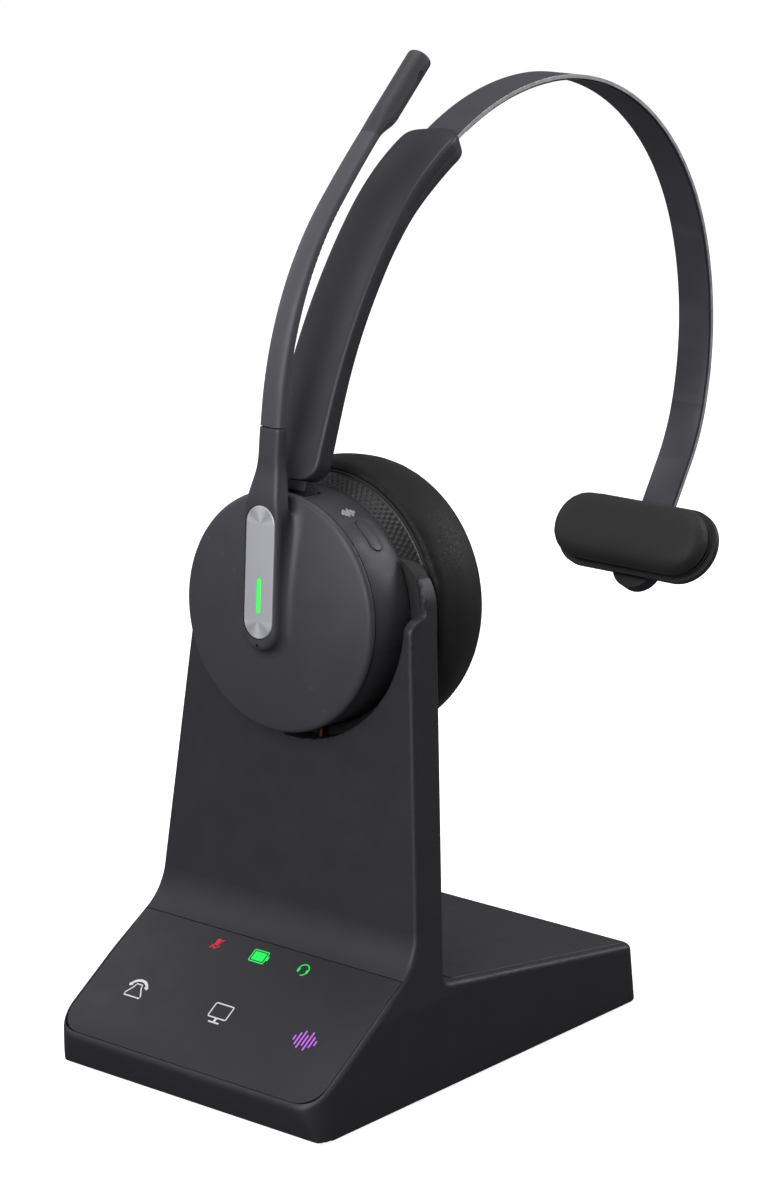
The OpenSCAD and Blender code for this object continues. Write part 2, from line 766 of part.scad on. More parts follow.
module boom_core() {
  color(metal_colour) {
    bow(arc_centre(boom_foot, boom_arcs, 0), boom_arcs[0][0] - 1.2, 1.2,
      boom_arcs[0][2], stem_a + 1, 2);
    bow_chain(boom_foot, boom_arcs, 1, 3, 1.2, 1.2, 2);
  }
}

module mic_housing() {
  color(shell_colour) along(mic_foot, mic_dir) difference() {
    rotate_extrude() {
      square([mic_r, mic_len - mic_edge_r]);
      square([mic_r - mic_edge_r, mic_len]);
      intersection() {
        translate([mic_r - mic_edge_r, mic_len - mic_edge_r]) circle(mic_edge_r);
        square([mic_r, mic_len]);
      }
    }
    translate([0, 0, 6]) cylinder(r = mic_r - 0.8, h = mic_len - 8);
    for (turn = [0, 180]) rotate([0, 0, turn]) translate([0, 1, mic_len - 7])
      rotate([-90, 0, 0]) cylinder(r = 1.5, h = 5);
  }
}

module mic_capsule() {
  color(metal_colour) along(mic_foot, mic_dir) translate([0, 0, mic_len - 10.5])
    cylinder(r = 2, h = 3);
}

module mic_mesh() {
  color(metal_colour) along(mic_foot, mic_dir) for (turn = [0, 180])
    rotate([0, 0, turn]) translate([0, 2.3, mic_len - 7]) rotate([-90, 0, 0])
      cylinder(r = 1.4, h = 0.6);
}

// ---- Neck and arm ----

module neck_yoke() {
  color(shell_colour) difference() {
    union() {
      cup_frame() across(10) {
        translate([tilt_d, tilt_u]) circle(2.3);
        polygon([
          [tilt_d - 2.2, tilt_u + 0.6], [tilt_d + 2.2, tilt_u + 0.6],
          [tilt_d + 1.6, tilt_u + 6], [tilt_d - 2, tilt_u + 6]
        ]);
      }
      along(arm_mid, arm_base_dir) {
        translate([-5, -1.8, -yoke_drop]) cube([10, 3.6, yoke_drop - 0.2]);
        translate([0, 0, -1]) cylinder(r = swivel_r, h = 11);
      }
    }
    cup_frame() translate([-10, tilt_d, tilt_u]) rotate([0, 90, 0])
      cylinder(r = tilt_r + FIT, h = 20);
    // groove for the swivel clip
    along(arm_mid, arm_base_dir) translate([0, 0, 7.6]) difference() {
      cylinder(r = swivel_r + 1, h = 0.8);
      cylinder(r = swivel_r - 0.4, h = 0.8);
    }
  }
}

module swivel_clip() {
  color(metal_colour) along(arm_mid, arm_base_dir) translate([0, 0, 7.65]) difference() {
    cylinder(r = 1.95, h = 0.6);
    cylinder(r = swivel_r - 0.35, h = 0.6);
  }
}

// The channel in which the band slides, concentric with the band's first arc.
module band_channel() {
  bow(band_c, band_r + GAP, band_t + 2 * GAP, 105, band_tail_a + 1.5, band_w + 2 * GAP);
}

// Bores for the swivel post and for the clip that holds it.
module swivel_bore() {
  along(arm_mid, arm_base_dir) {
    cylinder(r = swivel_r + FIT, h = 11);
    translate([0, 0, 7.4]) cylinder(r = 2.1, h = 1.1);
  }
}

// What rounding two corners takes off the end of a flat bar w wide, whose end is on the X axis.
module corner_waste(w, r) {
  for (side = [-1, 1]) difference() {
    translate([side * (w / 2 + 1), 0] - [side * (r + 1) / 2, (r - 1) / 2]) square(r + 1, center = true);
    translate([side * (w / 2 - r), -r]) circle(r);
  }
}

// Tool that rounds the arm's four corners.
module arm_corner_cuts() {
  along(arm_end, arm_end_dir) translate([0, 20, 0]) rotate([90, 0, 0])
    linear_extrude(30) corner_waste(arm_w, arm_top_r);
  along(arm_foot, arm_base_dir) translate([0, 20, 0]) rotate([90, 0, 0])
    linear_extrude(30) mirror([0, 1]) corner_waste(arm_w, arm_foot_r);
}

// Frame of an arm screw: the origin is on the arm's inner face, +Z points into the arm.
module arm_screw_frame(place) {
  p = arc_point(arm_foot, arm_arcs, 1, place[0], place[1]);
  along(p, place[0]) children();
}

module arm_cover() {
  color(shell_colour) difference() {
    bow_chain(arm_foot, arm_arcs, 0, 2, 0, arm_t / 2, arm_w);
    arm_corner_cuts();
    band_channel();
    swivel_bore();
    for (place = arm_screws_at) arm_screw_frame(place) translate([0, 0, -0.5])
      cylinder(r = 0.8, h = 3.9);
  }
}

module arm_inner_cover() {
  color(shell_colour) difference() {
    bow_chain(arm_foot, arm_arcs, 0, 2, arm_t / 2 + 0.05, arm_t / 2 - 0.05, arm_w);
    // the arm is slimmer along its middle
    across(FAR) translate(arm_waist_c) circle(arm_waist_r, $fn = 300);
    arm_corner_cuts();
    band_channel();
    swivel_bore();
    for (place = arm_screws_at) arm_screw_frame(place) {
      translate([0, 0, -3]) cylinder(r = 0.9, h = 8);
      translate([0, 0, -3]) cylinder(r = 1.8, h = 4);
    }
  }
}

module arm_screws() {
  color(metal_colour) for (place = arm_screws_at) arm_screw_frame(place) {
    translate([0, 0, 0.2]) cylinder(r = 1.6, h = 0.7);
    translate([0, 0, 0.2]) cylinder(r = 0.75, h = 3);
  }
}

// ---- Headband and temple pad ----

// The band's form from off to off + t below its outer face, from a start angle of the first arc.
module band_form(start_a, off, t, w, tail_len) {
  bow(band_c, band_r - off, t, band_arcs[0][2], start_a, w);
  bow_chain(band_start, band_arcs, 1, 3, off, t, w);
  along(band_last, band_last_dir) translate([-w / 2 - HAIR, off - HAIR, -0.5])
    cube([w + 2 * HAIR, t + 2 * HAIR, tail_len + 0.5]);
}

module headband() {
  color(metal_colour) band_form(band_tail_a, 0, band_t - liner_t, band_w, band_end_len);
}

module band_liner() {
  color(soft_colour) band_form(117, band_t - liner_t + 0.1, liner_t - 0.1, band_w - 1, 17);
}

module band_end_cap() {
  color(shell_colour) difference() {
    pad_frame() difference() {
      upright_pill(14, -13.5, 3.5, cap_d0, cap_d1);
      translate([-10, pad_pivot_d, pad_pivot_v]) rotate([0, 90, 0])
        cylinder(r = pad_pin_r + FIT, h = 20);
    }
    along(band_last, band_last_dir) translate([-band_w / 2 - 0.05, -0.05, 0])
      cube([band_w + 0.1, band_t - liner_t + 0.1, band_end_len + 0.1]);
  }
}

module pad_plate() {
  color(shell_colour) pad_frame() difference() {
    union() {
      translate([0, plate_t, 0]) rotate([90, 0, 0]) linear_extrude(plate_t) rotate(90)
        stadium(pad_h + 1.6, pad_l + 2);
      for (side = [-1, 1]) translate([side * 9 - 1.2, 0, pad_pivot_v]) {
        translate([0, pad_pivot_d, 0]) rotate([0, 90, 0]) cylinder(r = 2, h = 2.4);
        translate([0, plate_t - 0.5, -2]) cube([2.4, pad_pivot_d - plate_t + 0.5, 4]);
      }
    }
    translate([-12, pad_pivot_d, pad_pivot_v]) rotate([0, 90, 0]) cylinder(r = pad_pin_r, h = 24);
  }
}

module pad_pin() {
  color(metal_colour) pad_frame() translate([-10.2, pad_pivot_d, pad_pivot_v])
    rotate([0, 90, 0]) cylinder(r = pad_pin_r, h = 20.4);
}

module temple_pad() {
  color(soft_colour) pad_frame() translate([0, -0.1, 0]) rotate([90, 0, 0])
    linear_extrude(pad_t - 0.1) rotate(90) stadium(pad_h - 0.6, pad_l - 0.6);
}

stand_housing();
cradle_liner();
upright_back_cover();
deck_cover();
touch_panel();
icon_light_guide();
touch_board();
base_plate();
foot_pad();
base_screws();
ballast_plate();
main_board();
usb_sockets();
antenna_board();
charge_pin_block();
charge_pins();
pin_springs();
cup_housing();
vent_ring();
cup_baffle();
speaker_driver();
speaker_mesh();
cushion_ring();
ear_cushion();
battery();
headset_board();
charge_contacts();
voice_button();
volume_rocker();
power_slider();
hub_washer();
hub_clip();
disc_cap();
call_button();
status_light();
call_switch();
boom_sleeve();
boom_core();
mic_housing();
mic_capsule();
mic_mesh();
tilt_pin();
neck_yoke();
swivel_clip();
arm_cover();
arm_inner_cover();
arm_screws();
headband();
band_liner();
band_end_cap();
pad_pin();
pad_plate();
temple_pad();
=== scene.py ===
"""Looks of the single-ear office headset on its charging stand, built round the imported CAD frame.

Lengths in the named values are millimetres and angles are degrees. Places come from the frame's
joints, and from sizes that match the CAD's. Every mesh is handed to Blender in metres.
"""

import json
import math

import bmesh
import bpy
import numpy as np
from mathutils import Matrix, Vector


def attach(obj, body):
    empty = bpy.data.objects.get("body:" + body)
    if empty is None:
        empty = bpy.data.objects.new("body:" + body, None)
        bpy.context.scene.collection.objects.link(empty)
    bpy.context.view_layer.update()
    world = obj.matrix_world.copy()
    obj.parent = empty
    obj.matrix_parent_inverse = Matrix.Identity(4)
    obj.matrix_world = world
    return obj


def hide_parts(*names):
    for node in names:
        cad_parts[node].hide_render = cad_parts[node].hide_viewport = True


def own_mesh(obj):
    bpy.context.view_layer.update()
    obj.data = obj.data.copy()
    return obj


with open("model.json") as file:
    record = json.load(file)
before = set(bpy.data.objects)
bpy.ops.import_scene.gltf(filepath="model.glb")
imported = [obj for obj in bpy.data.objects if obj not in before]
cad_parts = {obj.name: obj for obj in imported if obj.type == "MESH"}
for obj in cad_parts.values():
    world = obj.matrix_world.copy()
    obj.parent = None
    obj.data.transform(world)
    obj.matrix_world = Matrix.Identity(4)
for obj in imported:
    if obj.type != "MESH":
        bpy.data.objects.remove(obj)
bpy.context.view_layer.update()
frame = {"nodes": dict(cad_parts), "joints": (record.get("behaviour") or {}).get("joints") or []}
MM = 0.001
JOINTS = {joint["name"]: joint for joint in frame["joints"]}

# ---- Ear cup: depths d run from the front disc to the cushion, heights u from the cup's centre ----
DISC_R = 30.0
DOME_H = 4.2
RIM_T = 1.5
DISC_WALL = 1.6
HUB_R = 7.0
HUB_WALL = 2.4
TONGUE_D, TONGUE_T, TONGUE_W = 7.4, 4.8, 11.4
STEM_HALF_W = 3.55
STEM_TOP_U = 46.2
PILL_W = 9.1
PILL_LOW, PILL_HIGH = -5.5, 27.5
LIGHT_W = 1.5
LIGHT_LOW, LIGHT_HIGH = 0.75, 9.65
MIC_HOLE_R = 0.42
CUP_WALL_R = 29.7
CUP_BACK_D = 14.6
RING_BACK_D = 19.2
RING_R = 32.5
KNURLS_ROUND, KNURL_PITCH, KNURL_DEPTH = 120, 0.92, 0.34
CUSHION_R = 35.8
CUSHION_D0, CUSHION_D1 = 21.0, 41.5
CUSHION_LIP_D = 19.6
SEAM_R = 0.32

# ---- Boom, arm and band: arcs are (radius, first angle, last angle) in the Y-Z plane ----
BOOM_ARCS = ((258, 178.6, 172.8), (89, 172.8, 156.1), (81.5, 156.1, 137.8), (298, 137.8, 133.6))
BOOM_FOOT = (-33.2, 143.4)
BOOM_TIP_HALF_W = 2.8
STEM_A = 174.0
MIC_LEN = 26.0
MIC_R = 3.2
MIC_OUT = 0.8
GRILLE_L, GRILLE_W = 1.3, 0.7
ARM_ARCS = ((473, 161, 158.7), (153, 158.7, 140), (68, 140, 111.5))
ARM_FOOT = (-24.5, 150.5)
ARM_W = 16.4
ARM_SPLIT = 3.1
ARM_FOOT_R, ARM_TOP_R = 5, 8
CHANNEL_GAP = 0.15
BAND_FIRST_R = 85.0
BAND_TAIL_A = 140.0
BAND_ARCS = ((85, 140, 92), (70.4, 92, 18), (88, 18, -14), (55, -14, -32))
BAND_W = 11.0
BAND_STEEL_T = 1.05
BAND_EDGE_CUT = 0.1
BAND_TAIL = 25.5

# ---- Temple pad ----
PAD_TILT = 31.0
PAD_PIVOT = (5.2, -5.0)
PAD_L, PAD_H, PAD_T = 49.0, 18.6, 7.2
PAD_PROFILE = ((-0.15, 0.9), (-1.0, 0.25), (-3.0, 0.0), (-4.8, 0.35), (-6.0, 1.3), (-6.8, 3.0), (-7.0, 5.5))
PAD_PROUD = 0.2
PIPING_R = 0.4

# ---- Stand: heights z from the desk, u from the cup's centre up the upright ----
BASE_HALF_W = 43.9
FOOT_Z = 0.8
FRONT_Y, REAR_Y = -64.0, 64.6
PANEL_ANGLE = 34.2
PANEL_LIP = (-67.2, 9.9)
PANEL_LEN = 42.0
BEND_R = 13.2
LEAN = 4.8
UPRIGHT_T = 10.8
UPRIGHT_Y0 = -30.366
TAPER_Z, TAPER = 25.0, 5.4
DECK_REAR = (62.35, 16.7)
DECK_ANGLE = 8.5
DECK_FRONT_Y = -12.0
DECK_INSET = 2.6
BACK_COVER_RUN = (50.0, 78.0)
BACK_COVER_INSET = 3
PORT_X = (-24, -8, 12)
PORT_HALF_W, PORT_LOW, PORT_HIGH = 4.7, 7.5, 11.1
NOTCH_R, POCKET_R, LEDGE_D = 32.5, 33.4, 14.15
STEP_D, HORN_U, CREST_U, TIP_U = 5.5, 3.0, 17.0, 12.2
HORN_SLANT = 0.27
HOLLOW_WALL = 2.5
STAND_CELL, HOLLOW_CELL = 0.6, 2.4

# ---- Stand: radii of its rounded edges and fillets ----
CREST_R, CREST_BACK_R = 12.0, 0.8
FRONT_CORNER_R, REAR_CORNER_R = 8.5, 4.5
FRONT_EDGE_R, BACK_EDGE_R, LIP_EDGE_R, REAR_EDGE_R = 1.3, 1.5, 0.8, 1.6
DECK_FILLET = 2.0
NOTCH_EDGE_R, TIP_EDGE_R = 0.45, 0.4
HORN_R, STEP_FILLET, STEP_EDGE_R = 2.8, 0.6, 0.35

# ---- Charging pins and their springs ----
PIN_X, PIN_D = 5.0, 12.0
SPRING_TURNS, SPRING_WIRE_R, SPRING_R, SPRING_LEN = 4, 0.16, 0.8, 2.1
SPRING_FOOT_U = -39.3

# ---- Edge rounding on CAD nodes, and the soft covers ----
WELD_GAP = 0.002
FLAT_ANGLE = 0.6
BEVEL_ANGLE = 32
BEVEL_SEGMENTS = 3
SOFT_SHARP = 80
COVER_PRESSURE = 4.0
COVER_FRAMES = 20
COVER_CAP = 5.0
CUSHION_VOXEL, PAD_VOXEL = 1.5, 1.1

# ---- Studio, in metres and watts: lights are (name, place, size, power) ----
FLOOR_REACH = 8.0
ROOM_GLOW = 0.16
LIGHT_AIM = (0, 0, 0.12)
LIGHTS = (
    ("key", (0.15, -0.95, 0.55), 0.9, 8.6),
    ("left", (-0.95, -0.25, 0.6), 0.7, 1.5),
    ("top", (-0.05, 0.1, 1.2), 0.8, 4.5),
    ("back", (0.5, 0.9, 0.6), 0.6, 4),
)
CAMERA_AT = (0.58348, -0.68873, 0.35283)
CAMERA_AZIMUTH, CAMERA_ELEVATION = 39.75, 14.77
CAMERA_LENS = 112.03


# ---- Frames ----
def turn(degrees):
    """Unit vector at an angle in a plane."""
    return np.array([math.cos(math.radians(degrees)), math.sin(math.radians(degrees))])


class Place:
    """A local frame: x across, d along the depth axis, u up. Points in mm, worlds in metres."""

    def __init__(self, origin, depth_axis):
        self.origin = np.array(origin, float)
        depth = np.array(depth_axis, float)
        depth = depth / np.linalg.norm(depth)
        across = np.array([1.0, 0.0, 0.0])
        self.axes = np.array([across, depth, np.cross(across, depth)])

    def world(self, points):
        return np.asarray(points, float) * MM @ self.axes + self.origin

    def local(self, points):
        return (np.asarray(points, float) - self.origin) @ self.axes.T / MM


CUP = Place(JOINTS["boom_swing"]["pos_m"], JOINTS["boom_swing"]["axis"])
PAD = Place(JOINTS["pad_tilt"]["pos_m"], (0, *turn(-PAD_TILT)))
PAD.origin = PAD.world([[0, -PAD_PIVOT[0], -PAD_PIVOT[1]]])[0]
PANEL = Place((0, PANEL_LIP[0] * MM, PANEL_LIP[1] * MM), (0, *turn(PANEL_ANGLE)))
BAND_CENTRE = np.array(JOINTS["headband_extend"]["pos_m"][1:]) / MM


# ---- Mesh tools ----
def link(data, name):
    """A new object in the scene, from a mesh, light or camera."""
    piece = bpy.data.objects.new(name, data)
    bpy.context.scene.collection.objects.link(piece)
    return piece


def mesh_of(name, verts, faces, sharp=40):
    """A smooth-shaded mesh object from metre points, with sharp edges past an angle."""
    mesh = bpy.data.meshes.new(name)
    mesh.from_pydata([tuple(v) for v in verts], [], [tuple(int(i) for i in f) for f in faces])
    mesh.validate()
    piece = link(mesh, name)
    finish_mesh(piece, sharp)
    return piece


def finish_mesh(piece, sharp=40):
    """Welds, orients and smooth-shades a mesh, with sharp edges past an angle."""
    form = bmesh.new()
    form.from_mesh(piece.data)
    bmesh.ops.remove_doubles(form, verts=form.verts, dist=1e-7)
    bmesh.ops.recalc_face_normals(form, faces=form.faces)
    form.to_mesh(piece.data)
    form.free()
    piece.data.shade_smooth()
    piece.data.set_sharp_from_angle(angle=math.radians(sharp))


def put(piece, body, material, nodes=()):
    """Gives a piece its material and its body, and hides the CAD nodes it stands for."""
    if material is not None:
        piece.data.materials.clear()
        piece.data.materials.append(material)
    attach(piece, body)
    if nodes:
        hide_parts(*nodes)


def apply_modifiers(piece):
    """Bakes a piece's modifiers into its mesh."""
    graph = bpy.context.evaluated_depsgraph_get()
    mesh = bpy.data.meshes.new_from_object(piece.evaluated_get(graph))
    piece.modifiers.clear()
    piece.data = mesh


def cut(piece, *tools, solver="EXACT"):
    """Cuts solid tools out of a piece, and removes the tools."""
    for tool in tools:
        modifier = piece.modifiers.new("cut", "BOOLEAN")
        modifier.operation = "DIFFERENCE"
        modifier.solver = solver
        modifier.object = tool
        apply_modifiers(piece)
        bpy.data.objects.remove(tool)
    finish_mesh(piece)


def rings_mesh(name, rings, closed=False, sharp=40):
    """Quads over a list of equal rings, with both ends filled unless it closes on itself."""
    rings = np.asarray(rings)
    count, size = rings.shape[:2]
    faces = []
    for i in range(count if closed else count - 1):
        a, b = i * size, (i + 1) % count * size
        for j in range(size):
            k = (j + 1) % size
            faces.append((a + j, a + k, b + k, b + j))
    if not closed:
        faces.append(tuple(range(size - 1, -1, -1)))
        faces.append(tuple(range((count - 1) * size, count * size)))
    return mesh_of(name, rings.reshape(-1, 3), faces, sharp)


def turned(place, name, profile, steps):
    """A soft closed (radius, depth) profile turned about a place's depth axis."""
    rings = []
    for a in np.linspace(0, 2 * math.pi, steps, endpoint=False):
        points = [(r * math.cos(a), d, r * math.sin(a)) for r, d in profile]
        rings.append(place.world(points))
    return rings_mesh(name, rings, closed=True, sharp=SOFT_SHARP)


def rounded(points, radius, steps=5):
    """A closed 2D outline with each corner rounded; radius is one number or one per corner."""
    points = np.asarray(points, float)
    count = len(points)
    radii = [radius] * count if np.isscalar(radius) else radius
    out = []
    for i in range(count):
        here, before, after = points[i], points[i - 1], points[(i + 1) % count]
        e1 = (before - here) / np.linalg.norm(before - here)
        e2 = (after - here) / np.linalg.norm(after - here)
        half = math.acos(np.clip(e1 @ e2, -1, 1)) / 2
        limit = 0.49 * min(np.linalg.norm(before - here), np.linalg.norm(after - here))
        reach = min(radii[i] / math.tan(half), limit)
        first, last = here + e1 * reach, here + e2 * reach
        for k in range(steps + 1):
            t = k / steps
            out.append((1 - t) ** 2 * first + 2 * t * (1 - t) * here + t * t * last)
    return np.array(out)


def box2(x0, y0, x1, y1):
    """The four corners of an upright rectangle."""
    return [(x0, y0), (x1, y0), (x1, y1), (x0, y1)]


def circle_angles(count):
    """Evenly spaced angles round a circle, in radians."""
    return np.linspace(0, 2 * math.pi, count, endpoint=False)


def arc_centres(foot, arcs):
    """Centres of a chain of tangent arcs in the Y-Z plane."""
    radius, start, _ = arcs[0]
    centres = [np.array(foot) - radius * turn(start)]
    for (r0, _, end), (r1, _, _) in zip(arcs, arcs[1:]):
        centres.append(centres[-1] + (r0 - r1) * turn(end))
    return centres


def chain_path(foot, arcs, step, first_angle=None, tail=0):
    """Stations (point, outward normal, length so far) along a chain of arcs and a straight tail."""
    stations, length = [], 0.0
    for (radius, start, end), centre in zip(arcs, arc_centres(foot, arcs)):
        start = start if first_angle is None or stations else first_angle
        count = max(2, int(abs(start - end) * math.pi / 180 * radius / step))
        for i in range(1 if stations else 0, count + 1):
            normal = turn(start + (end - start) * i / count)
            point = centre + radius * normal
            if stations:
                length += np.linalg.norm(point - stations[-1][0])
            stations.append((point, normal, length))
    if tail:
        point, normal, length = stations[-1]
        along = np.array([normal[1], -normal[0]])
        for i in range(1, int(tail / step) + 1):
            run = tail * i / int(tail / step)
            stations.append((point + along * run, normal, length + run))
    return stations


def station_ring(point, normal, section):
    """World ring of a section, given as (x, h) with h along the outward normal."""
    y = point[0] + section[:, 1] * normal[0]
    z = point[1] + section[:, 1] * normal[1]
    return np.stack([section[:, 0], y, z], axis=1) * MM


def smooth_step(x, low, high):
    t = np.clip((np.asarray(x, float) - low) / (high - low), 0, 1)
    return t * t * (3 - 2 * t)


# ---- Solids from distance functions ----
def smin(a, b, k):
    """Union of two distance fields, blended over a width."""
    h = np.clip(0.5 + 0.5 * (b - a) / k, 0, 1)
    return b + (a - b) * h - k * h * (1 - h)


def smax(a, b, k):
    """Intersection of two distance fields, blended over a width."""
    return -smin(-a, -b, k)


def pulled(field, verts, cell, steps=6):
    """Points moved onto a distance field's zero surface, along its slope."""
    for _ in range(steps):
        here = field(verts)
        slope = np.stack([(field(verts + e) - field(verts - e)) / 0.02 for e in np.eye(3) * 0.01], axis=1)
        steep = np.maximum((slope ** 2).sum(1), 0.05)
        verts = verts - slope * np.clip(here / steep, -cell, cell)[:, None]
    return verts


def relaxed(verts, faces):
    """Points moved halfway to the mean of their neighbours along the quads' edges."""
    total = np.zeros_like(verts)
    count = np.zeros(len(verts))
    for side in range(4):
        a, b = faces[:, side], faces[:, (side + 1) % 4]
        for start, end in ((a, b), (b, a)):
            np.add.at(total, start, verts[end])
            np.add.at(count, start, 1)
    return 0.5 * (verts + total / np.maximum(count, 1)[:, None])


def edge_quads(inside, index, axis):
    """Quads joining the four cells round each grid edge that crosses the surface along an axis."""
    step = [slice(None)] * 3
    shifted = [slice(None)] * 3
    step[axis] = slice(None, -1)
    shifted[axis] = slice(1, None)
    flip = np.argwhere(inside[tuple(step)] != inside[tuple(shifted)])
    b, c = (axis + 1) % 3, (axis + 2) % 3
    keep = (flip[:, b] > 0) & (flip[:, c] > 0)
    flip = flip[keep & (flip[:, b] < index.shape[b]) & (flip[:, c] < index.shape[c])]
    quad = []
    for db, dc in ((0, 0), (1, 0), (1, 1), (0, 1)):
        cell_at = flip.copy()
        cell_at[:, b] -= db
        cell_at[:, c] -= dc
        quad.append(index[cell_at[:, 0], cell_at[:, 1], cell_at[:, 2]])
    return np.stack(quad, axis=1)


def net_of(field, low, high, cell, passes=0):
    """Surface net of a distance field: vertices pulled onto its zero surface, and quads."""
    axes = [np.arange(l - cell, h + 2 * cell, cell) for l, h in zip(low, high)]
    grid = np.stack(np.meshgrid(*axes, indexing="ij"), axis=-1)
    inside = field(grid.reshape(-1, 3)).reshape(grid.shape[:3]) < 0
    nx, ny, nz = np.array(inside.shape) - 1
    corners = [inside[i:nx + i, j:ny + j, k:nz + k] for i in (0, 1) for j in (0, 1) for k in (0, 1)]
    total = np.sum(corners, axis=0)
    active = (total > 0) & (total < 8)
    index = np.full(active.shape, -1, np.int64)
    index[active] = np.arange(active.sum())
    verts = pulled(field, grid[:-1, :-1, :-1][active] + cell / 2, cell)
    faces = np.concatenate([edge_quads(inside, index, axis) for axis in range(3)])
    faces = faces[(faces >= 0).all(axis=1)]
    for _ in range(passes):
        verts = pulled(field, relaxed(verts, faces), cell, 3)
    return verts, faces


# ---- Materials ----
def linear(rgb):
    """Linear colour from 0-255 display values."""
    return tuple(((v / 255 + 0.055) / 1.055) ** 2.4 if v > 10 else v / 255 / 12.92 for v in rgb)


class Paint:
    """Builds one node material, with short calls for the nodes used here."""

    def __init__(self, name):
        self.material = bpy.data.materials.new(name)
        self.material.use_nodes = True
        self.tree = self.material.node_tree
        self.tree.nodes.clear()
        self.shader = self.node("BsdfPrincipled")
        self.out = self.node("OutputMaterial", {"Surface": self.shader.outputs[0]})
        self.spot = self.node("TexCoord").outputs["Object"]

    def feed(self, socket, value):
        """Gives a socket another socket, a colour, a vector or a number."""
        if isinstance(value, bpy.types.NodeSocket):
            self.tree.links.new(value, socket)
        else:
            socket.default_value = (*value, 1) if socket.type == "RGBA" else value

    def node(self, kind, inputs=(), **settings):
        """A node of a kind, with its inputs fed by name or number."""
        made = self.tree.nodes.new("ShaderNode" + kind)
        for key, value in settings.items():
            setattr(made, key, value)
        for key, value in dict(inputs).items():
            self.feed(made.inputs[key], value)
        return made

    def calc(self, operation, *values):
        return self.node("Math", enumerate(values), operation=operation).outputs[0]

    def noise(self, scale, detail, rough=0.5):
        inputs = {"Vector": self.spot, "Scale": scale, "Detail": detail, "Roughness": rough}
        return self.node("TexNoise", inputs).outputs["Fac"]

    def cells(self, scale):
        """Distance to the edges of irregular cells."""
        inputs = {"Vector": self.spot, "Scale": scale}
        return self.node("TexVoronoi", inputs, feature="DISTANCE_TO_EDGE").outputs["Distance"]

    def spread(self, source, low, high, from_low=0.3, from_high=0.7):
        """A value moved from one range onto another."""
        ends = {"From Min": from_low, "From Max": from_high, "To Min": low, "To Max": high}
        return self.node("MapRange", {"Value": source, **ends}).outputs[0]

    def blend(self, factor, first, second):
        inputs = {"Factor": factor, "A": first, "B": second}
        return self.node("Mix", inputs, data_type="RGBA").outputs["Result"]

    def bump(self, height, strength, distance, under=None):
        inputs = {"Height": height, "Strength": strength, "Distance": distance * MM}
        if under is not None:
            inputs["Normal"] = under
        return self.node("Bump", inputs).outputs[0]

    def painted_edge_highlight(self):
        """Mask of the raised edges, where a highlight is painted into the colour."""
        return self.spread(self.node("NewGeometry").outputs["Pointiness"], 0.0, 1.0, 0.53, 0.62)

    def shade(self, **values):
        for key, value in values.items():
            self.feed(self.shader.inputs[key.replace("_", " ")], value)


def tinted(colour, share):
    """A colour made darker or lighter."""
    return tuple(min(1.0, c * share) for c in colour)


def plastic(name, rgb, rough, grain=0.25, bump=0.25):
    """Moulded plastic: spark-eroded grain of a size in mm, faint mottling, and a painted highlight that pales
    the raised edges.
    """
    paint = Paint(name)
    base = linear(rgb)
    tone = paint.blend(paint.spread(paint.noise(55, 4), 0, 1), tinted(base, 0.965), tinted(base, 1.035))
    # Base colour: mottled tone, with a painted highlight that pales the raised edges.
    paint.shade(
        Base_Color=paint.blend(paint.painted_edge_highlight(), tone, tinted(base, 1.3)),
        Roughness=paint.spread(paint.noise(140, 4), rough - 0.05, rough + 0.06),
        Normal=paint.bump(paint.noise(1 / (grain * MM), 2, 0.6), bump, 0.03),
    )
    return paint.material


def rubber(name, rgb, rough):
    """Soft-touch coating: matt, with a faint sheen and very fine grain."""
    paint = Paint(name)
    base = linear(rgb)
    paint.shade(
        Base_Color=paint.blend(paint.noise(90, 4), tinted(base, 0.9), tinted(base, 1.1)),
        Roughness=paint.spread(paint.noise(300, 3), rough - 0.06, rough + 0.06),
        Sheen_Weight=0.15,
        Normal=paint.bump(paint.noise(5200, 2), 0.3, 0.03),
    )
    return paint.material


def leather(name, rgb):
    """Protein leather: pebbled grain of cells over fine pores, with softly polished high spots."""
    paint = Paint(name)
    base = linear(rgb)
    pebble = paint.cells(950)
    grain = paint.bump(paint.spread(pebble, 0, 1, 0.0, 0.35), 0.16, 0.05)
    paint.shade(
        Base_Color=paint.blend(paint.noise(70, 5), tinted(base, 0.85), tinted(base, 1.15)),
        Roughness=paint.spread(pebble, 0.64, 0.5, 0.0, 0.3),
        Specular_IOR_Level=0.25,
        Sheen_Weight=0.05,
        Normal=paint.bump(paint.noise(4200, 3), 0.2, 0.02, grain),
    )
    return paint.material


def metal(name, rgb, rough, scale):
    """Satin metal with fine mottling that varies its brightness and roughness."""
    paint = Paint(name)
    base = linear(rgb)
    mottle = paint.noise(scale, 4, 0.6)
    paint.shade(
        Base_Color=paint.blend(mottle, tinted(base, 0.82), tinted(base, 1.12)),
        Metallic=1.0,
        Roughness=paint.spread(mottle, rough - 0.08, rough + 0.1),
        Normal=paint.bump(mottle, 0.12, 0.02),
    )
    return paint.material


def painted_end_glints(paint, centre, outward):
    """Mask of four cone-shaped glints painted about a pill's end, on the side of its centre that points
    outward.
    """
    offset = paint.node("VectorMath", {0: paint.spot, 1: centre}, operation="SUBTRACT").outputs[0]
    parts = paint.node("SeparateXYZ", {0: offset})
    angle = paint.calc("ARCTAN2", parts.outputs["X"], parts.outputs["Z"])
    wave = paint.calc("COSINE", paint.calc("MULTIPLY", angle, 4.0))
    height = paint.calc("MULTIPLY", parts.outputs["Z"], outward)
    return paint.calc("MULTIPLY", wave, paint.spread(height, 0, 1, -0.0002, 0.0008))


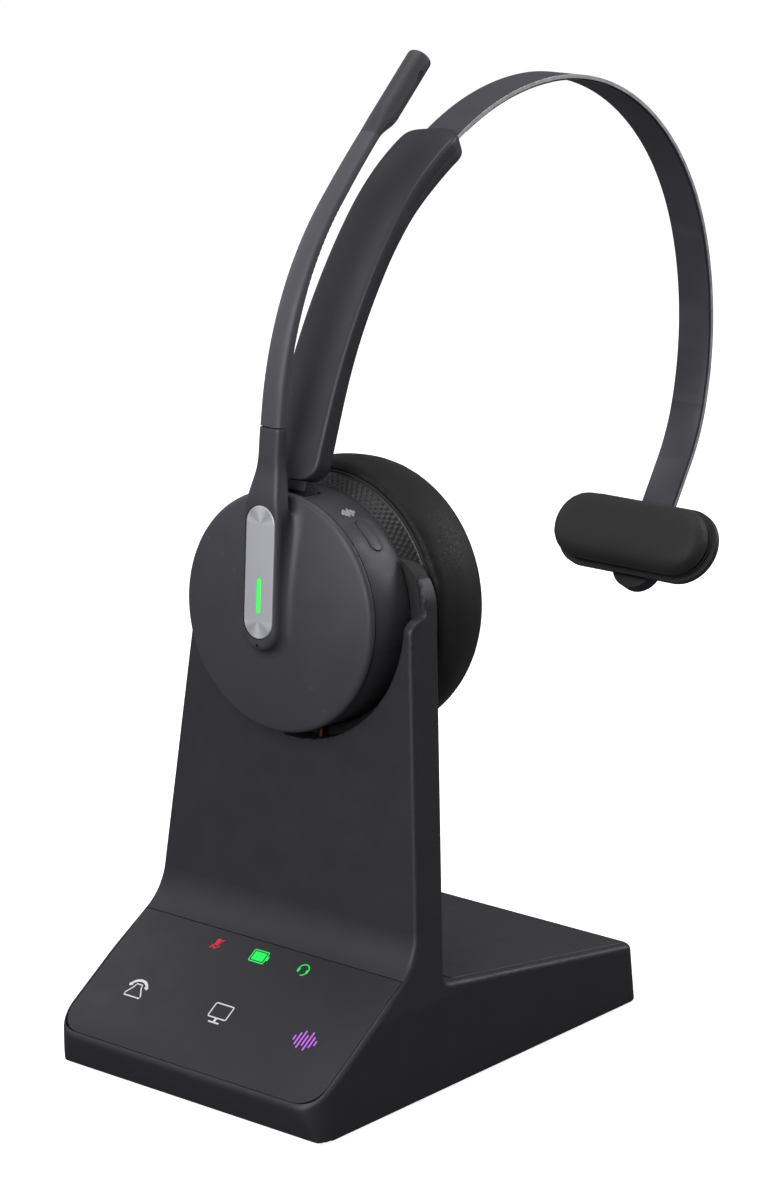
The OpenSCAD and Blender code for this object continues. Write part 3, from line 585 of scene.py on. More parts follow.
def pill_with_painted_glints(name, low_end, high_end):
    """Satin metal with a plain middle, and ends spun about their centres, with glints painted into the colour
    round them.
    """
    paint = Paint(name)
    base = linear((205, 205, 213))
    glints = paint.calc("ADD", painted_end_glints(paint, low_end, -1), painted_end_glints(paint, high_end, 1))
    fine = paint.noise(3500, 2)
    # Base colour: lighter and darker glints painted round both ends.
    paint.shade(
        Base_Color=paint.blend(paint.spread(glints, 0, 1, -1, 1), tinted(base, 0.78), tinted(base, 1.2)),
        Metallic=0.3,
        Roughness=paint.spread(fine, 0.3, 0.42),
        Normal=paint.bump(fine, 0.08, 0.01),
    )
    return paint.material


def glow_material(name, rgb, strength):
    """Printed icon or light window lit from behind, a little uneven as a real one is; it also gives unlit
    printed ink a painted glow.
    """
    paint = Paint(name)
    colour = linear(rgb)
    glow = paint.blend(paint.noise(900, 2), tinted(colour, 0.85), colour)
    paint.shade(Base_Color=glow, Roughness=0.35, Emission_Color=glow, Emission_Strength=strength)
    return paint.material


def woven(name, rgb):
    """Fine woven mesh: crossed threads in bump and colour."""
    paint = Paint(name)
    base = linear(rgb)
    threads = []
    for direction in ("X", "Z"):
        inputs = {"Vector": paint.spot, "Scale": 420}
        wave = paint.node("TexWave", inputs, wave_type="BANDS", bands_direction=direction)
        threads.append(wave.outputs["Fac"])
    weave = paint.calc("MULTIPLY", *threads)
    paint.shade(
        Base_Color=paint.blend(weave, tinted(base, 0.4), base),
        Roughness=0.85,
        Normal=paint.bump(weave, 0.6, 0.1),
    )
    return paint.material


STAND_SHELL = plastic("stand_shell", (46, 45, 50), 0.5)
PANEL_SATIN = plastic("panel_satin", (42, 41, 46), 0.5, 0.3, 0.08)
COVER_DARK = plastic("cover_dark", (38, 37, 42), 0.48)
CUP_SHELL = plastic("cup_shell", (64, 63, 68), 0.46)
DISC_SHELL = plastic("disc_shell", (65, 64, 70), 0.46, 0.2, 0.2)
ARM_SHELL = plastic("arm_shell", (52, 51, 57), 0.48, 0.2, 0.2)
VENT_DARK = plastic("vent_dark", (36, 36, 38), 0.42)
# Black soft rubber; on the cradle liner its black is painted shade for the recess round the notch.
SOFT_BLACK_AND_SHADE = rubber("soft_black", (22, 22, 23), 0.7)
BOOM_SOFT = rubber("boom_soft", (76, 75, 81), 0.5)
MIC_SHELL = rubber("mic_shell", (60, 59, 64), 0.5)
CUSHION_LEATHER = leather("cushion_leather", (24, 24, 24))
PAD_LEATHER = leather("pad_leather", (52, 52, 52))
BAND_COAT = plastic("band_coat", (70, 69, 75), 0.38, 0.3, 0.12)
BAND_EDGE = metal("band_edge", (215, 215, 217), 0.5, 300)
STEEL = metal("plain_steel", (190, 190, 192), 0.32, 900)
CELL_FOIL = metal("cell_foil", (170, 172, 176), 0.38, 400)
BALLAST = metal("ballast", (92, 92, 94), 0.6, 700)
# Gold darkened far below its own colour, as painted shade for the pins, which sit in the shadow under the
# cup.
GOLD_PAINTED_SHADE = metal("gold", (74, 60, 38), 0.5, 1500)
BOARD = plastic("board", (18, 78, 48), 0.35, 0.5, 0.15)
NYLON = plastic("nylon", (205, 204, 198), 0.5)
GUIDE = plastic("light_guide", (214, 214, 214), 0.3)
MESH_DARK = woven("mesh_dark", (60, 60, 62))
LIGHT_GREEN = glow_material("light_green", (60, 225, 85), 1.1)


# ---- CAD nodes that keep their shape ----
def soften(name, width, material):
    """A CAD node keeps its form; modifiers round its sharp edges and its material is new."""
    node = frame["nodes"][name]
    weld = node.modifiers.new("weld", "WELD")
    weld.merge_threshold = WELD_GAP * MM
    flat = node.modifiers.new("flat", "DECIMATE")
    flat.decimate_type = "DISSOLVE"
    flat.angle_limit = math.radians(FLAT_ANGLE)
    if width:
        bevel = node.modifiers.new("bevel", "BEVEL")
        bevel.width = width * MM
        bevel.segments = BEVEL_SEGMENTS
        bevel.limit_method = "ANGLE"
        bevel.angle_limit = math.radians(BEVEL_ANGLE)
        bevel.harden_normals = True
    node.data.shade_smooth()
    node.data.materials.clear()
    node.data.materials.append(material)


def dress_cad_nodes():
    """Gives each kept node its material and the width that its edges are rounded to."""
    for material, widths in (
        (STAND_SHELL, {"deck_cover": 0.25}),
        (PANEL_SATIN, {"touch_panel": 0.2}),
        (COVER_DARK, {"upright_back_cover": 0.3, "base_plate": 0.3, "charge_pin_block": 0.2,
                      "cup_baffle": 0.2, "cushion_ring": 0.2, "neck_yoke": 0.4, "band_end_cap": 0.6,
                      "pad_plate": 0.4}),
        # The cradle liner is black as painted shade: it fills the recess round the cup's notch, which lies in
        # shadow.
        (SOFT_BLACK_AND_SHADE, {"cradle_liner": 0.15, "foot_pad": 0.4}),
        (CUP_SHELL, {"cup_housing": 0.25, "voice_button": 0.25, "volume_rocker": 0.25, "power_slider": 0.2}),
        (STEEL, {"base_screws": 0.1, "usb_sockets": 0.1, "speaker_driver": 0.2, "hub_clip": 0.1,
                 "call_switch": 0.2, "boom_core": 0.1, "mic_capsule": 0.1, "tilt_pin": 0.15, "swivel_clip": 0,
                 "arm_screws": 0.1, "pad_pin": 0.1}),
        (BOARD, {"main_board": 0, "antenna_board": 0, "touch_board": 0, "headset_board": 0}),
        # Pins and contacts in gold that is darkened by painted shade.
        (GOLD_PAINTED_SHADE, {"charge_pins": 0.15, "charge_contacts": 0.2}),
        (MESH_DARK, {"speaker_mesh": 0, "mic_mesh": 0}),
        (BALLAST, {"ballast_plate": 0.5}),
        (CELL_FOIL, {"battery": 0.6}),
        (GUIDE, {"icon_light_guide": 0.1}),
        (NYLON, {"hub_washer": 0.1}),
        (BAND_COAT, {"band_liner": 0.1}),
        (LIGHT_GREEN, {"status_light": 0.1}),
    ):
        for name, width in widths.items():
            soften(name, width, material)


# ---- Stand ----
def round_meet(a, b, r):
    """Intersection of two distance fields, its edge rounded to a radius."""
    return np.minimum(-r, np.maximum(a, b)) + np.hypot(np.maximum(r + a, 0), np.maximum(r + b, 0))


def round_join(a, b, r):
    """Union of two distance fields, its inner corner filled to a radius."""
    return np.maximum(r, np.minimum(a, b)) - np.hypot(np.maximum(r - a, 0), np.maximum(r - b, 0))


def upright_place(y, z):
    """Run up the leaning upright, and depth behind its front face."""
    rise, rise_n = turn(90 - LEAN), turn(-LEAN)
    run = (y - UPRIGHT_Y0) * rise[0] + z * rise[1]
    depth = (y - UPRIGHT_Y0) * rise_n[0] + z * rise_n[1]
    return run, depth


def stand_half(z):
    """Half width of the stand, which tapers above its base."""
    return BASE_HALF_W - np.maximum(0, z - TAPER_Z) * math.tan(math.radians(TAPER))


def front_face(y, z):
    """Distance ahead of the stand's front: the panel's slope, the bend and the upright's front."""
    slope, slope_n = turn(PANEL_ANGLE), turn(PANEL_ANGLE + 90)
    rise, rise_n = turn(90 - LEAN), turn(-LEAN)
    start = np.array(PANEL_LIP) + PANEL_LEN * slope
    centre = start + BEND_R * slope_n
    qy, qz = y - centre[0], z - centre[1]
    on_panel = (y - PANEL_LIP[0]) * slope_n[0] + (z - PANEL_LIP[1]) * slope_n[1]
    on_upright = BEND_R - (qy * rise_n[0] + qz * rise_n[1])
    on_bend = BEND_R - np.hypot(qy, qz)
    before = qy * slope[0] + qz * slope[1] < 0
    after = qy * rise[0] + qz * rise[1] > 0
    return np.where(before & ~after, on_panel, np.where(after, on_upright, on_bend))


def end_wall(y, z, foot_y, top):
    """Distance beyond a wall that leans from a foot on the base's underside to a top point."""
    lean = math.atan2(foot_y - top[0], top[1] - FOOT_Z)
    return (y - foot_y) * math.cos(lean) + (z - FOOT_Z) * math.sin(lean)


def back_face(y, z, depth, top):
    """Distance beyond the upright's back and crest, filled into the sloping deck."""
    deck_n = turn(90 - DECK_ANGLE)
    deck = (y - DECK_REAR[0]) * deck_n[0] + (z - DECK_REAR[1]) * deck_n[1]
    return round_join(round_meet(depth - UPRIGHT_T, top, CREST_BACK_R), deck, DECK_FILLET)


def cradle_cut(points, body, up, depth):
    """The body with the cup's round notch, and with its horns stepped back and slanted."""
    local = CUP.local(points * MM)
    radial = np.hypot(local[:, 0], local[:, 2])
    body = round_meet(body, np.where(local[:, 1] < LEDGE_D, NOTCH_R, POCKET_R) - radial, NOTCH_EDGE_R)
    body = round_meet(body, up - TIP_U, TIP_EDGE_R)
    above_horn = up - HORN_U - HORN_SLANT * (depth - STEP_D)
    keep = round_join(round_meet(above_horn, -depth, HORN_R), STEP_D - depth, STEP_FILLET)
    return round_meet(body, np.where(above_horn < -2 * HORN_R, body, keep), STEP_EDGE_R)


def stand_field(points, margin=0.0, floor_z=FOOT_Z):
    """The stand's rounded outer form, drawn in by a margin for the hollow inside."""
    x, y, z = points.T
    run, depth = upright_place(y, z)
    up = run - upright_place(CUP.origin[1] / MM, CUP.origin[2] / MM)[0]
    top = up - CREST_U
    rear = end_wall(y, z, REAR_Y, DECK_REAR)
    side = round_meet(np.abs(x) - stand_half(z), top, CREST_R)
    side = round_meet(side, PANEL_LIP[0] - y, FRONT_CORNER_R)
    side = round_meet(side, rear, REAR_CORNER_R)
    body = round_meet(side, front_face(y, z), FRONT_EDGE_R)
    body = round_meet(body, back_face(y, z, depth, top), BACK_EDGE_R)
    body = round_meet(body, -end_wall(y, z, FRONT_Y, PANEL_LIP), LIP_EDGE_R)
    body = round_meet(body, rear, REAR_EDGE_R)
    return np.maximum(cradle_cut(points, body, up, depth) + margin, floor_z - z)


def hollow_field(points):
    """The hollow inside the stand, open below."""
    return stand_field(points, HOLLOW_WALL, FOOT_Z - 5)


def prism(name, outline, to_world, low, high):
    """A solid from an outline and two heights; to_world maps (x, y, height) points to metres."""
    rings = [to_world([(x, y, h) for x, y in outline]) for h in (low, high)]
    return rings_mesh(name, rings)


def joined(*pieces):
    """One mesh object from several, for use as a single cutting tool."""
    form = bmesh.new()
    for piece in pieces:
        form.from_mesh(piece.data)
    bmesh.ops.recalc_face_normals(form, faces=form.faces)
    mesh = bpy.data.meshes.new("tool")
    form.to_mesh(mesh)
    form.free()
    for piece in pieces:
        bpy.data.objects.remove(piece)
    return link(mesh, "tool")


def panel_seat():
    """Tool for the recess that holds the touch panel."""
    w = BASE_HALF_W - FRONT_EDGE_R
    corner = FRONT_CORNER_R - FRONT_EDGE_R
    outline = rounded(box2(-w, FRONT_EDGE_R, w, PANEL_LEN - 0.4), [corner, corner, 0.3, 0.3], 8)
    return prism("seat", outline, PANEL.world, -2.0, 4)


def deck_seat():
    """Tool for the recess that holds the deck cover."""
    w = BASE_HALF_W - DECK_INSET
    slope = math.tan(math.radians(DECK_ANGLE))

    def to_world(points):
        return [(x * MM, y * MM, (DECK_REAR[1] + (DECK_REAR[0] - y) * slope + h) * MM) for x, y, h in points]

    return prism("deck", box2(-w, DECK_FRONT_Y, w, DECK_REAR[0] - DECK_INSET), to_world, -1.3, 4)


def back_seat():
    """Tool for the recess that holds the upright's back cover."""
    rise, rise_n = turn(90 - LEAN), turn(-LEAN)

    def to_world(points):
        return [(x * MM, (UPRIGHT_Y0 + h * rise_n[0] + y * rise[0]) * MM, (h * rise_n[1] + y * rise[1]) * MM)
                for x, y, h in points]

    low, high = BACK_COVER_RUN
    low_w, high_w = stand_half(low) - BACK_COVER_INSET, stand_half(high) - BACK_COVER_INSET
    outline = [(-low_w, low), (low_w, low), (high_w, high), (-high_w, high)]
    return prism("back", outline, to_world, UPRIGHT_T - 1.5, UPRIGHT_T + 3)


def port_tools():
    """Tools for the openings over the sockets in the rear wall."""
    def to_world(points):
        return [(x * MM, (REAR_Y + h) * MM, z * MM) for x, z, h in points]

    outlines = [rounded(box2(x - PORT_HALF_W, PORT_LOW, x + PORT_HALF_W, PORT_HIGH), 1.2, 4) for x in PORT_X]
    return [prism("port", outline, to_world, -6, 3) for outline in outlines]


def make_stand():
    """Stand shell: the rounded outer form, with its recesses and hollow cut by booleans."""
    verts, faces = net_of(stand_field, (-44.4, -67.8, 0.8), (44.4, 65.4, 135.2), STAND_CELL, 3)
    stand = mesh_of("stand_shell", verts * MM, faces, 60)
    cut(stand, joined(panel_seat(), deck_seat(), back_seat(), *port_tools()), solver="MANIFOLD")
    verts, faces = net_of(hollow_field, (-44, -67, -6), (44, 65, 134), HOLLOW_CELL)
    cut(stand, mesh_of("cavity", verts * MM, faces), solver="MANIFOLD")
    flat = stand.modifiers.new("flat", "DECIMATE")
    flat.decimate_type = "DISSOLVE"
    flat.angle_limit = math.radians(0.4)
    even = stand.modifiers.new("even", "WEIGHTED_NORMAL")
    even.keep_sharp = True
    apply_modifiers(stand)
    put(stand, "stand", STAND_SHELL, ["stand_housing"])


def spring_ring(side, share):
    """Ring of a spring's wire, at a share of the way up its coil."""
    a = 2 * math.pi * SPRING_TURNS * share
    points = []
    for b in circle_angles(8):
        r = SPRING_R + SPRING_WIRE_R * math.cos(b)
        height = SPRING_FOOT_U + SPRING_LEN * share + SPRING_WIRE_R * math.sin(b)
        points.append((side * PIN_X + r * math.cos(a), PIN_D + r * math.sin(a), height))
    return CUP.world(points)


def make_pin_springs():
    """Coil springs under the charging pins."""
    for side, name in ((-1, "pin_spring_left"), (1, "pin_spring_right")):
        rings = [spring_ring(side, share) for share in np.linspace(0, 1, SPRING_TURNS * 24 + 1)]
        spring = rings_mesh(name, rings, sharp=SOFT_SHARP)
        put(spring, "stand", STEEL, ["pin_springs"])
        anchor = CUP.world([(side * PIN_X, PIN_D, SPRING_FOOT_U)])[0]
        tuple(CUP.axes[2])
        tuple(anchor)
        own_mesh(spring)


# ---- Ear cup ----
def tongue_field(x, d, u):
    """The raised tongue that holds the call button and narrows upward into the boom's stem."""
    half = TONGUE_W / 2 + (STEM_HALF_W - TONGUE_W / 2) * smooth_step(u, 24, 40)
    front = -TONGUE_D + 1.75 * smooth_step(u, 27, 38) + 0.045 * np.maximum(0, u - 38)
    back = front + TONGUE_T - 1.3 * smooth_step(u, 30, 42)
    low_u = PILL_LOW - 3 + TONGUE_W / 2
    side = np.where(u < low_u, np.hypot(x, u - low_u) - half, np.abs(x) - half)
    return smax(smax(side, np.maximum(front - d, d - back), 1.7), u - STEM_TOP_U, 0.25)


def disc_field(points):
    """The disc's domed shell with its raised tongue and its hub, in the cup's frame."""
    x, d, u = points.T
    r = np.hypot(x, u)
    ball_r = (DISC_R ** 2 + DOME_H ** 2) / (2 * DOME_H)
    ball = np.sqrt(x ** 2 + (d - ball_r + DOME_H) ** 2 + u ** 2) - ball_r
    outer = smax(smax(ball, r - DISC_R, 1.2), d - RIM_T, 0.6)
    solid = smin(outer, tongue_field(x, d, u), 3.0)
    inner = np.maximum(np.maximum(ball + DISC_WALL, r - DISC_R + DISC_WALL), d - 9)
    shell = np.maximum(solid, -inner)
    hub = np.maximum(r - HUB_R - HUB_WALL, np.abs(d + 1.0) - 2.2)
    bore = np.maximum(r - HUB_R - 0.05, -(d + 1.7))
    return np.maximum(np.minimum(shell, np.maximum(hub, d - RIM_T + 0.2)), -bore)


def stadium_outline(width, low, high, steps=24):
    """Outline of an upright stadium, as (x, u)."""
    r = width / 2
    top = [(r * math.cos(a), high - r + r * math.sin(a)) for a in np.linspace(0, math.pi, steps)]
    foot = [(-r * math.cos(a), low + r - r * math.sin(a)) for a in np.linspace(0, math.pi, steps)]
    return np.array(top + foot)


def pill_solid(name, width, low, high, d0, d1, edge=0.0):
    """An upright stadium between two depths, its front edge rounded."""
    front = [(d0, 0)]
    if edge:
        angles = np.linspace(0, math.pi / 2, 6)
        front = [(d0 + edge * (1 - math.sin(t)), edge * (1 - math.cos(t))) for t in angles]
    rings = []
    for depth, inset in [(d1, 0)] + front:
        outline = stadium_outline(width - 2 * inset, low + inset, high - inset)
        rings.append(CUP.world([(x, depth, u) for x, u in outline]))
    return rings_mesh(name, rings, sharp=50)


def mic_hole():
    """Tool for the small microphone hole under the call button."""
    rings = []
    for depth in (-9, -4.5):
        rings.append(CUP.world([(MIC_HOLE_R * math.cos(a), depth, PILL_LOW - 1.7 + MIC_HOLE_R * math.sin(a))
                                for a in circle_angles(16)]))
    return rings_mesh("hole", rings)


def make_disc():
    verts, faces = net_of(disc_field, (-31, -8.2, -31), (31, 3, 47.5), 0.5)
    disc = mesh_of("disc_shell", CUP.world(verts), faces, 50)
    recess = pill_solid("recess", PILL_W + 0.36, PILL_LOW - 0.18, PILL_HIGH + 0.18, -9.5, -4.6)
    cut(disc, recess, mic_hole())
    put(disc, "mic_boom", DISC_SHELL, ["disc_cap"])


def make_pill():
    """Long call button in the tongue, slotted for its status light."""
    pill = pill_solid("call_pill", PILL_W, PILL_LOW, PILL_HIGH, -TONGUE_D - 0.02, -TONGUE_D + 2.2, 0.35)
    cut(pill, pill_solid("slot", LIGHT_W, LIGHT_LOW, LIGHT_HIGH, -9, -4))
    ends = [tuple(CUP.world([[0, -TONGUE_D, u]])[0]) for u in (PILL_LOW + PILL_W / 2, PILL_HIGH - PILL_W / 2)]
    put(pill, "call_button", pill_with_painted_glints("pill_metal", *ends), ["call_button"])


def knurled_radius(a, depth, radius):
    """Radius of the ring's outside at an angle, cut by two crossed helical waves."""
    round_share = a / (2 * math.pi / KNURLS_ROUND)
    rise_share = depth / KNURL_PITCH / 2
    one = abs(((round_share + rise_share) % 1) - 0.5)
    two = abs(((round_share - rise_share) % 1) - 0.5)
    return radius - KNURL_DEPTH * max(one, two) * 2


def make_vent_ring():
    """Conical ring behind the cup wall, its outside cut in a real diamond knurl."""
    around, rows = 720, 20
    rings = []
    for i in range(around):
        a = 2 * math.pi * i / around
        points = []
        for j in range(rows + 1):
            t = j / rows
            depth = CUP_BACK_D + 0.05 + (RING_BACK_D - CUP_BACK_D - 0.1) * t
            radius = CUP_WALL_R + (RING_R - CUP_WALL_R) * t
            if 0 < j < rows:
                radius = knurled_radius(a, depth, radius)
            points.append((radius * math.cos(a), depth, radius * math.sin(a)))
        for radius, depth in ((RING_R - 2.0, RING_BACK_D - 0.05), (CUP_WALL_R - 1.8, CUP_BACK_D + 0.05)):
            points.append((radius * math.cos(a), depth, radius * math.sin(a)))
        rings.append(CUP.world(points))
    ring = rings_mesh("vent_knurl", rings, closed=True, sharp=75)
    put(ring, "ear_cup", VENT_DARK, ["vent_ring"])


def blow(piece):
    """Runs cloth pressure on a piece, and caps how far each point has moved."""
    start = np.array([v.co for v in piece.data.vertices])
    cloth = piece.modifiers.new("cloth", "CLOTH")
    cloth.settings.use_pressure = True
    cloth.settings.uniform_pressure_force = COVER_PRESSURE
    cloth.settings.effector_weights.gravity = 0
    cloth.settings.quality = 6
    cloth.settings.tension_stiffness = 30
    cloth.point_cache.frame_start, cloth.point_cache.frame_end = 1, COVER_FRAMES
    scene = bpy.context.scene
    for number in range(1, COVER_FRAMES + 1):
        scene.frame_set(number)
    apply_modifiers(piece)
    scene.frame_set(1)
    move = np.array([v.co for v in piece.data.vertices]) - start
    length = np.linalg.norm(move, axis=1, keepdims=True)
    move *= np.minimum(1, COVER_CAP * MM / np.maximum(length, 1e-9))
    place_verts(piece, start + move)


def swell(piece, voxel):
    """Padded cover by cloth pressure: remeshed to a voxel size in mm, blown, smoothed, subdivided."""
    mesh = piece.data
    remesh = piece.modifiers.new("remesh", "REMESH")
    remesh.mode = "VOXEL"
    remesh.voxel_size = voxel * MM
    apply_modifiers(piece)
    blow(piece)
    smooth = piece.modifiers.new("smooth", "SMOOTH")
    smooth.iterations = 3
    fine = piece.modifiers.new("fine", "SUBSURF")
    fine.levels = fine.render_levels = 1
    apply_modifiers(piece)
    finish_mesh(piece, SOFT_SHARP)
    bpy.data.meshes.remove(mesh)


def place_verts(piece, spots):
    """Moves each vertex of a piece to its own spot."""
    for vertex, spot in zip(piece.data.vertices, spots):
        vertex.co = spot


def fit_box(piece, place, low, high):
    """Scales a soft piece about its frame so that it fills the space its CAD solid holds."""
    local = place.local(np.array([v.co for v in piece.data.vertices]))
    now_low, now_high = local.min(0), local.max(0)
    share = (local - now_low) / (now_high - now_low)
    place_verts(piece, place.world(np.array(low) + share * (np.array(high) - np.array(low))))


def make_ear_cushion():
    """Ring-shaped leather cushion, fullest behind its middle, drawn in at both seams."""
    d0, d1, lip = CUSHION_D0, CUSHION_D1 - 0.5, CUSHION_LIP_D
    profile = rounded([(13.5, d0 + 0.4), (32.6, d0 + 0.4), (32.8, lip), (34.6, lip + 0.6),
                       (35.6, d0 + 8), (33.5, d1 - 2), (24, d1), (15.5, d1 - 2.5)],
                      [1, 0.3, 0.3, 2.5, 12, 9, 7, 5], 8)
    cushion = turned(CUP, "ear_cushion_leather", profile, 120)
    swell(cushion, CUSHION_VOXEL)
    fit_box(cushion, CUP, (-CUSHION_R, lip, -CUSHION_R), (CUSHION_R, CUSHION_D1, CUSHION_R))
    put(cushion, "ear_cup", CUSHION_LEATHER, ["ear_cushion"])
    cord = [(32.75 + SEAM_R * math.cos(a), lip - 0.02 + SEAM_R * math.sin(a)) for a in circle_angles(10)]
    seam = turned(CUP, "cushion_piping", cord, 160)
    put(seam, "ear_cup", SOFT_BLACK_AND_SHADE)


# ---- Boom ----
def oval_section(half_w, front, back, power):
    """Rounded section (x, h) from -back to front; a power over 2 makes it squarer than an ellipse."""
    points = []
    for a in circle_angles(32):
        c, s = math.cos(a), math.sin(a)
        x = half_w * math.copysign(abs(c) ** (2 / power), c)
        h = math.copysign(abs(s) ** (2 / power), s)
        points.append((x, (front - back) / 2 + h * (front + back) / 2))
    return np.array(points)


def make_boom():
    """Flexible boom: a soft oval bar that thins upward, finely ribbed along its inner face."""
    stations = chain_path(BOOM_FOOT, BOOM_ARCS, 0.5, STEM_A - 0.06)
    total = stations[-1][2]
    rings = []
    for point, normal, run in stations:
        share = run / total
        half = STEM_HALF_W - (STEM_HALF_W - BOOM_TIP_HALF_W) * share
        thick = 3.5 - 0.7 * smooth_step(share, 0.1, 0.9)
        ribbed = smooth_step(share, 0.42, 0.46) * (1 - smooth_step(share, 0.72, 0.76))
        thick -= 0.22 * ribbed * (0.5 + 0.5 * math.cos(2 * math.pi * run / 1.6))
        rings.append(station_ring(point, normal, oval_section(half, 0.05, thick, 2.9)))
    boom = rings_mesh("boom_bar", rings, sharp=60)
    put(boom, "mic_boom", BOOM_SOFT, ["boom_sleeve"])
    make_mic(*stations[-1][:2])


def make_mic(point, normal):
    """Microphone barrel that grows out of the boom's end, with a flat rounded tip."""
    along = np.array([normal[1], -normal[0]])
    thin, full = BOOM_TIP_HALF_W, 2 * MIC_R - MIC_OUT
    rings = []
    for run in np.concatenate([np.linspace(0.05, 9, 22), np.linspace(9.5, MIC_LEN - 1, 8)]):
        grow = smooth_step(run, 0, 8)
        half = thin + (MIC_R - thin) * grow
        section = oval_section(half, 0.05 + 0.75 * grow, thin + (full - thin) * grow, 2.9 - 0.9 * grow)
        rings.append(station_ring(point + along * run, normal, section))
    tip = point + along * (MIC_LEN - 1) + normal * (MIC_OUT - MIC_R)
    for t in np.linspace(0.15, 1, 7) * math.pi / 2:
        radius = MIC_R - 1 + math.cos(t)
        rings.append(station_ring(tip + along * math.sin(t), normal, oval_section(radius, radius, radius, 2)))
    barrel = rings_mesh("mic_barrel", rings, sharp=60)
    put(barrel, "mic_boom", MIC_SHELL, ["mic_housing", "mic_mesh"])
    for side, name in ((-1, "mic_grille_left"), (1, "mic_grille_right")):
        make_grille(name, side, tip - along * 4.4, along, normal)


def make_grille(name, side, middle, along, normal):
    """Small oval of mesh let into the barrel's side."""
    rings = []
    for lift in (MIC_R - 0.5, MIC_R + 0.03):
        ring = []
        for a in circle_angles(24):
            across = GRILLE_W * math.sin(a)
            spot = middle + along * (GRILLE_L * math.cos(a)) + normal * across
            ring.append((side * math.sqrt(lift ** 2 - across ** 2), spot[0], spot[1]))
        rings.append(np.array(ring) * MM)
    put(rings_mesh(name, rings, sharp=60), "mic_boom", MESH_DARK)


# ---- Arm ----
def corner_half(run, total):
    """Half width of the arm at a run along it, with both ends' corners rounded."""
    half = ARM_W / 2
    if run < ARM_FOOT_R:
        return half - ARM_FOOT_R + math.sqrt(max(0, ARM_FOOT_R ** 2 - (ARM_FOOT_R - run) ** 2))
    if run > total - ARM_TOP_R:
        over = run - (total - ARM_TOP_R)
        return half - ARM_TOP_R + math.sqrt(max(0, ARM_TOP_R ** 2 - over ** 2))
    return half


def arm_section(half, top, low, dish, edge_top, edge_low):
    """Arm section (x, h) from height low to top, its outer face dished."""
    steps = 6
    outline = rounded(box2(-half, low, half, top), [edge_low, edge_low, edge_top, edge_top], steps)
    wide_sides = (steps, 3 * steps + 2)
    fine = []
    for number, (a, b) in enumerate(zip(outline, np.roll(outline, -1, axis=0))):
        count = 12 if number in wide_sides else 1
        fine.extend(a + (b - a) * i / count for i in range(count))
    fine = np.array(fine)
    on_top = smooth_step(fine[:, 1], top - 0.5, top)
    fine[:, 1] -= dish * on_top * (1 - np.minimum(1, (fine[:, 0] / (half - edge_top)) ** 2))
    return fine


def arm_half_section(run, total, outer):
    """Section of one of the arm's two shells: thick at both ends of the arm and slim in the middle."""
    half = corner_half(run, total)
    if outer:
        crown = 1.5 * smooth_step(run, total - 8, total) ** 2
        dish = 0.5 * smooth_step(run, 3, 12) * (1 - smooth_step(run, total - 20, total - 6))
        return arm_section(half, 0.1 - crown, -ARM_SPLIT, dish, 1.1, 0.05)
    share = run / total
    thick = 5.2 - 1.2 * smooth_step(share, 0.05, 0.4) + 2.1 * smooth_step(share, 0.55, 0.88)
    return arm_section(half, -ARM_SPLIT - 0.03, -max(thick, ARM_SPLIT + 0.7), 0, 0.05, 0.9)


def place_on(stations, run):
    """Point and outward normal at a run along a chain's stations."""
    i = min(np.searchsorted([s[2] for s in stations], run), len(stations) - 1)
    i = max(i, 1)
    (p0, n0, r0), (p1, n1, r1) = stations[i - 1], stations[i]
    t = (run - r0) / (r1 - r0)
    normal = n0 + (n1 - n0) * t
    return p0 + (p1 - p0) * t, normal / np.linalg.norm(normal)


def channel_tool(name):
    """The curved channel in which the band slides, as a solid for cutting."""
    half = BAND_W / 2 + CHANNEL_GAP
    section = np.array(box2(-half, -1.65, half, CHANNEL_GAP))
    rings = []
    for angle in np.arange(105, BAND_TAIL_A + 1.6, 1.5):
        normal = turn(angle)
        rings.append(station_ring(BAND_CENTRE + BAND_FIRST_R * normal, normal, section))
    return rings_mesh(name, rings)


def make_arm():
    """Arm in two shells with a fine seam between them."""
    stations = chain_path(ARM_FOOT, ARM_ARCS, 0.8)
    total = stations[-1][2]
    ends = [0.0, 0.25, 0.6]
    runs = ends + [r for _, _, r in stations if 0.9 < r < total - 0.9] + [total - e for e in ends[::-1]]
    for name, node, slot in (
        ("arm_outer", "arm_cover", "disc_shell"),
        ("arm_inner", "arm_inner_cover", "cover_dark"),
    ):
        outer = name == "arm_outer"
        rings = [station_ring(*place_on(stations, run), arm_half_section(run, total, outer)) for run in runs]
        arm = rings_mesh(name, rings, sharp=45)
        cut(arm, channel_tool(name + "_channel"))
        put(arm, "arm", ARM_SHELL, [node])


# ---- Headband ----
def make_band():
    """Spring steel band: coated faces, bright ground edges, running in an arc to the temple pad."""
    foot = BAND_CENTRE + BAND_FIRST_R * turn(BAND_TAIL_A)
    stations = chain_path(foot, BAND_ARCS, 1.0, None, BAND_TAIL)
    section = rounded(box2(-BAND_W / 2, -BAND_STEEL_T, BAND_W / 2, 0), BAND_EDGE_CUT, 1)
    rings = [station_ring(point, normal, section) for point, normal, _ in stations]
    band = rings_mesh("headband_steel", rings, sharp=30)
    band.data.materials.append(BAND_COAT)
    band.data.materials.append(BAND_EDGE)
    for face in band.data.polygons:
        face.material_index = 1 if abs(face.normal.x) > 0.6 else 0
    put(band, "headband", None, ["headband"])


# ---- Temple pad ----
def pad_outline(inset, count=64):
    """The pad's oblong outline, drawn in by an inset."""
    r = PAD_H / 2 - inset
    run = PAD_L / 2 - inset - r
    angles = np.linspace(-math.pi / 2, math.pi / 2, count // 2)
    right = [(run + r * math.cos(a), r * math.sin(a)) for a in angles]
    left = [(-run - r * math.cos(a), -r * math.sin(a)) for a in angles]
    return np.array(right + left)


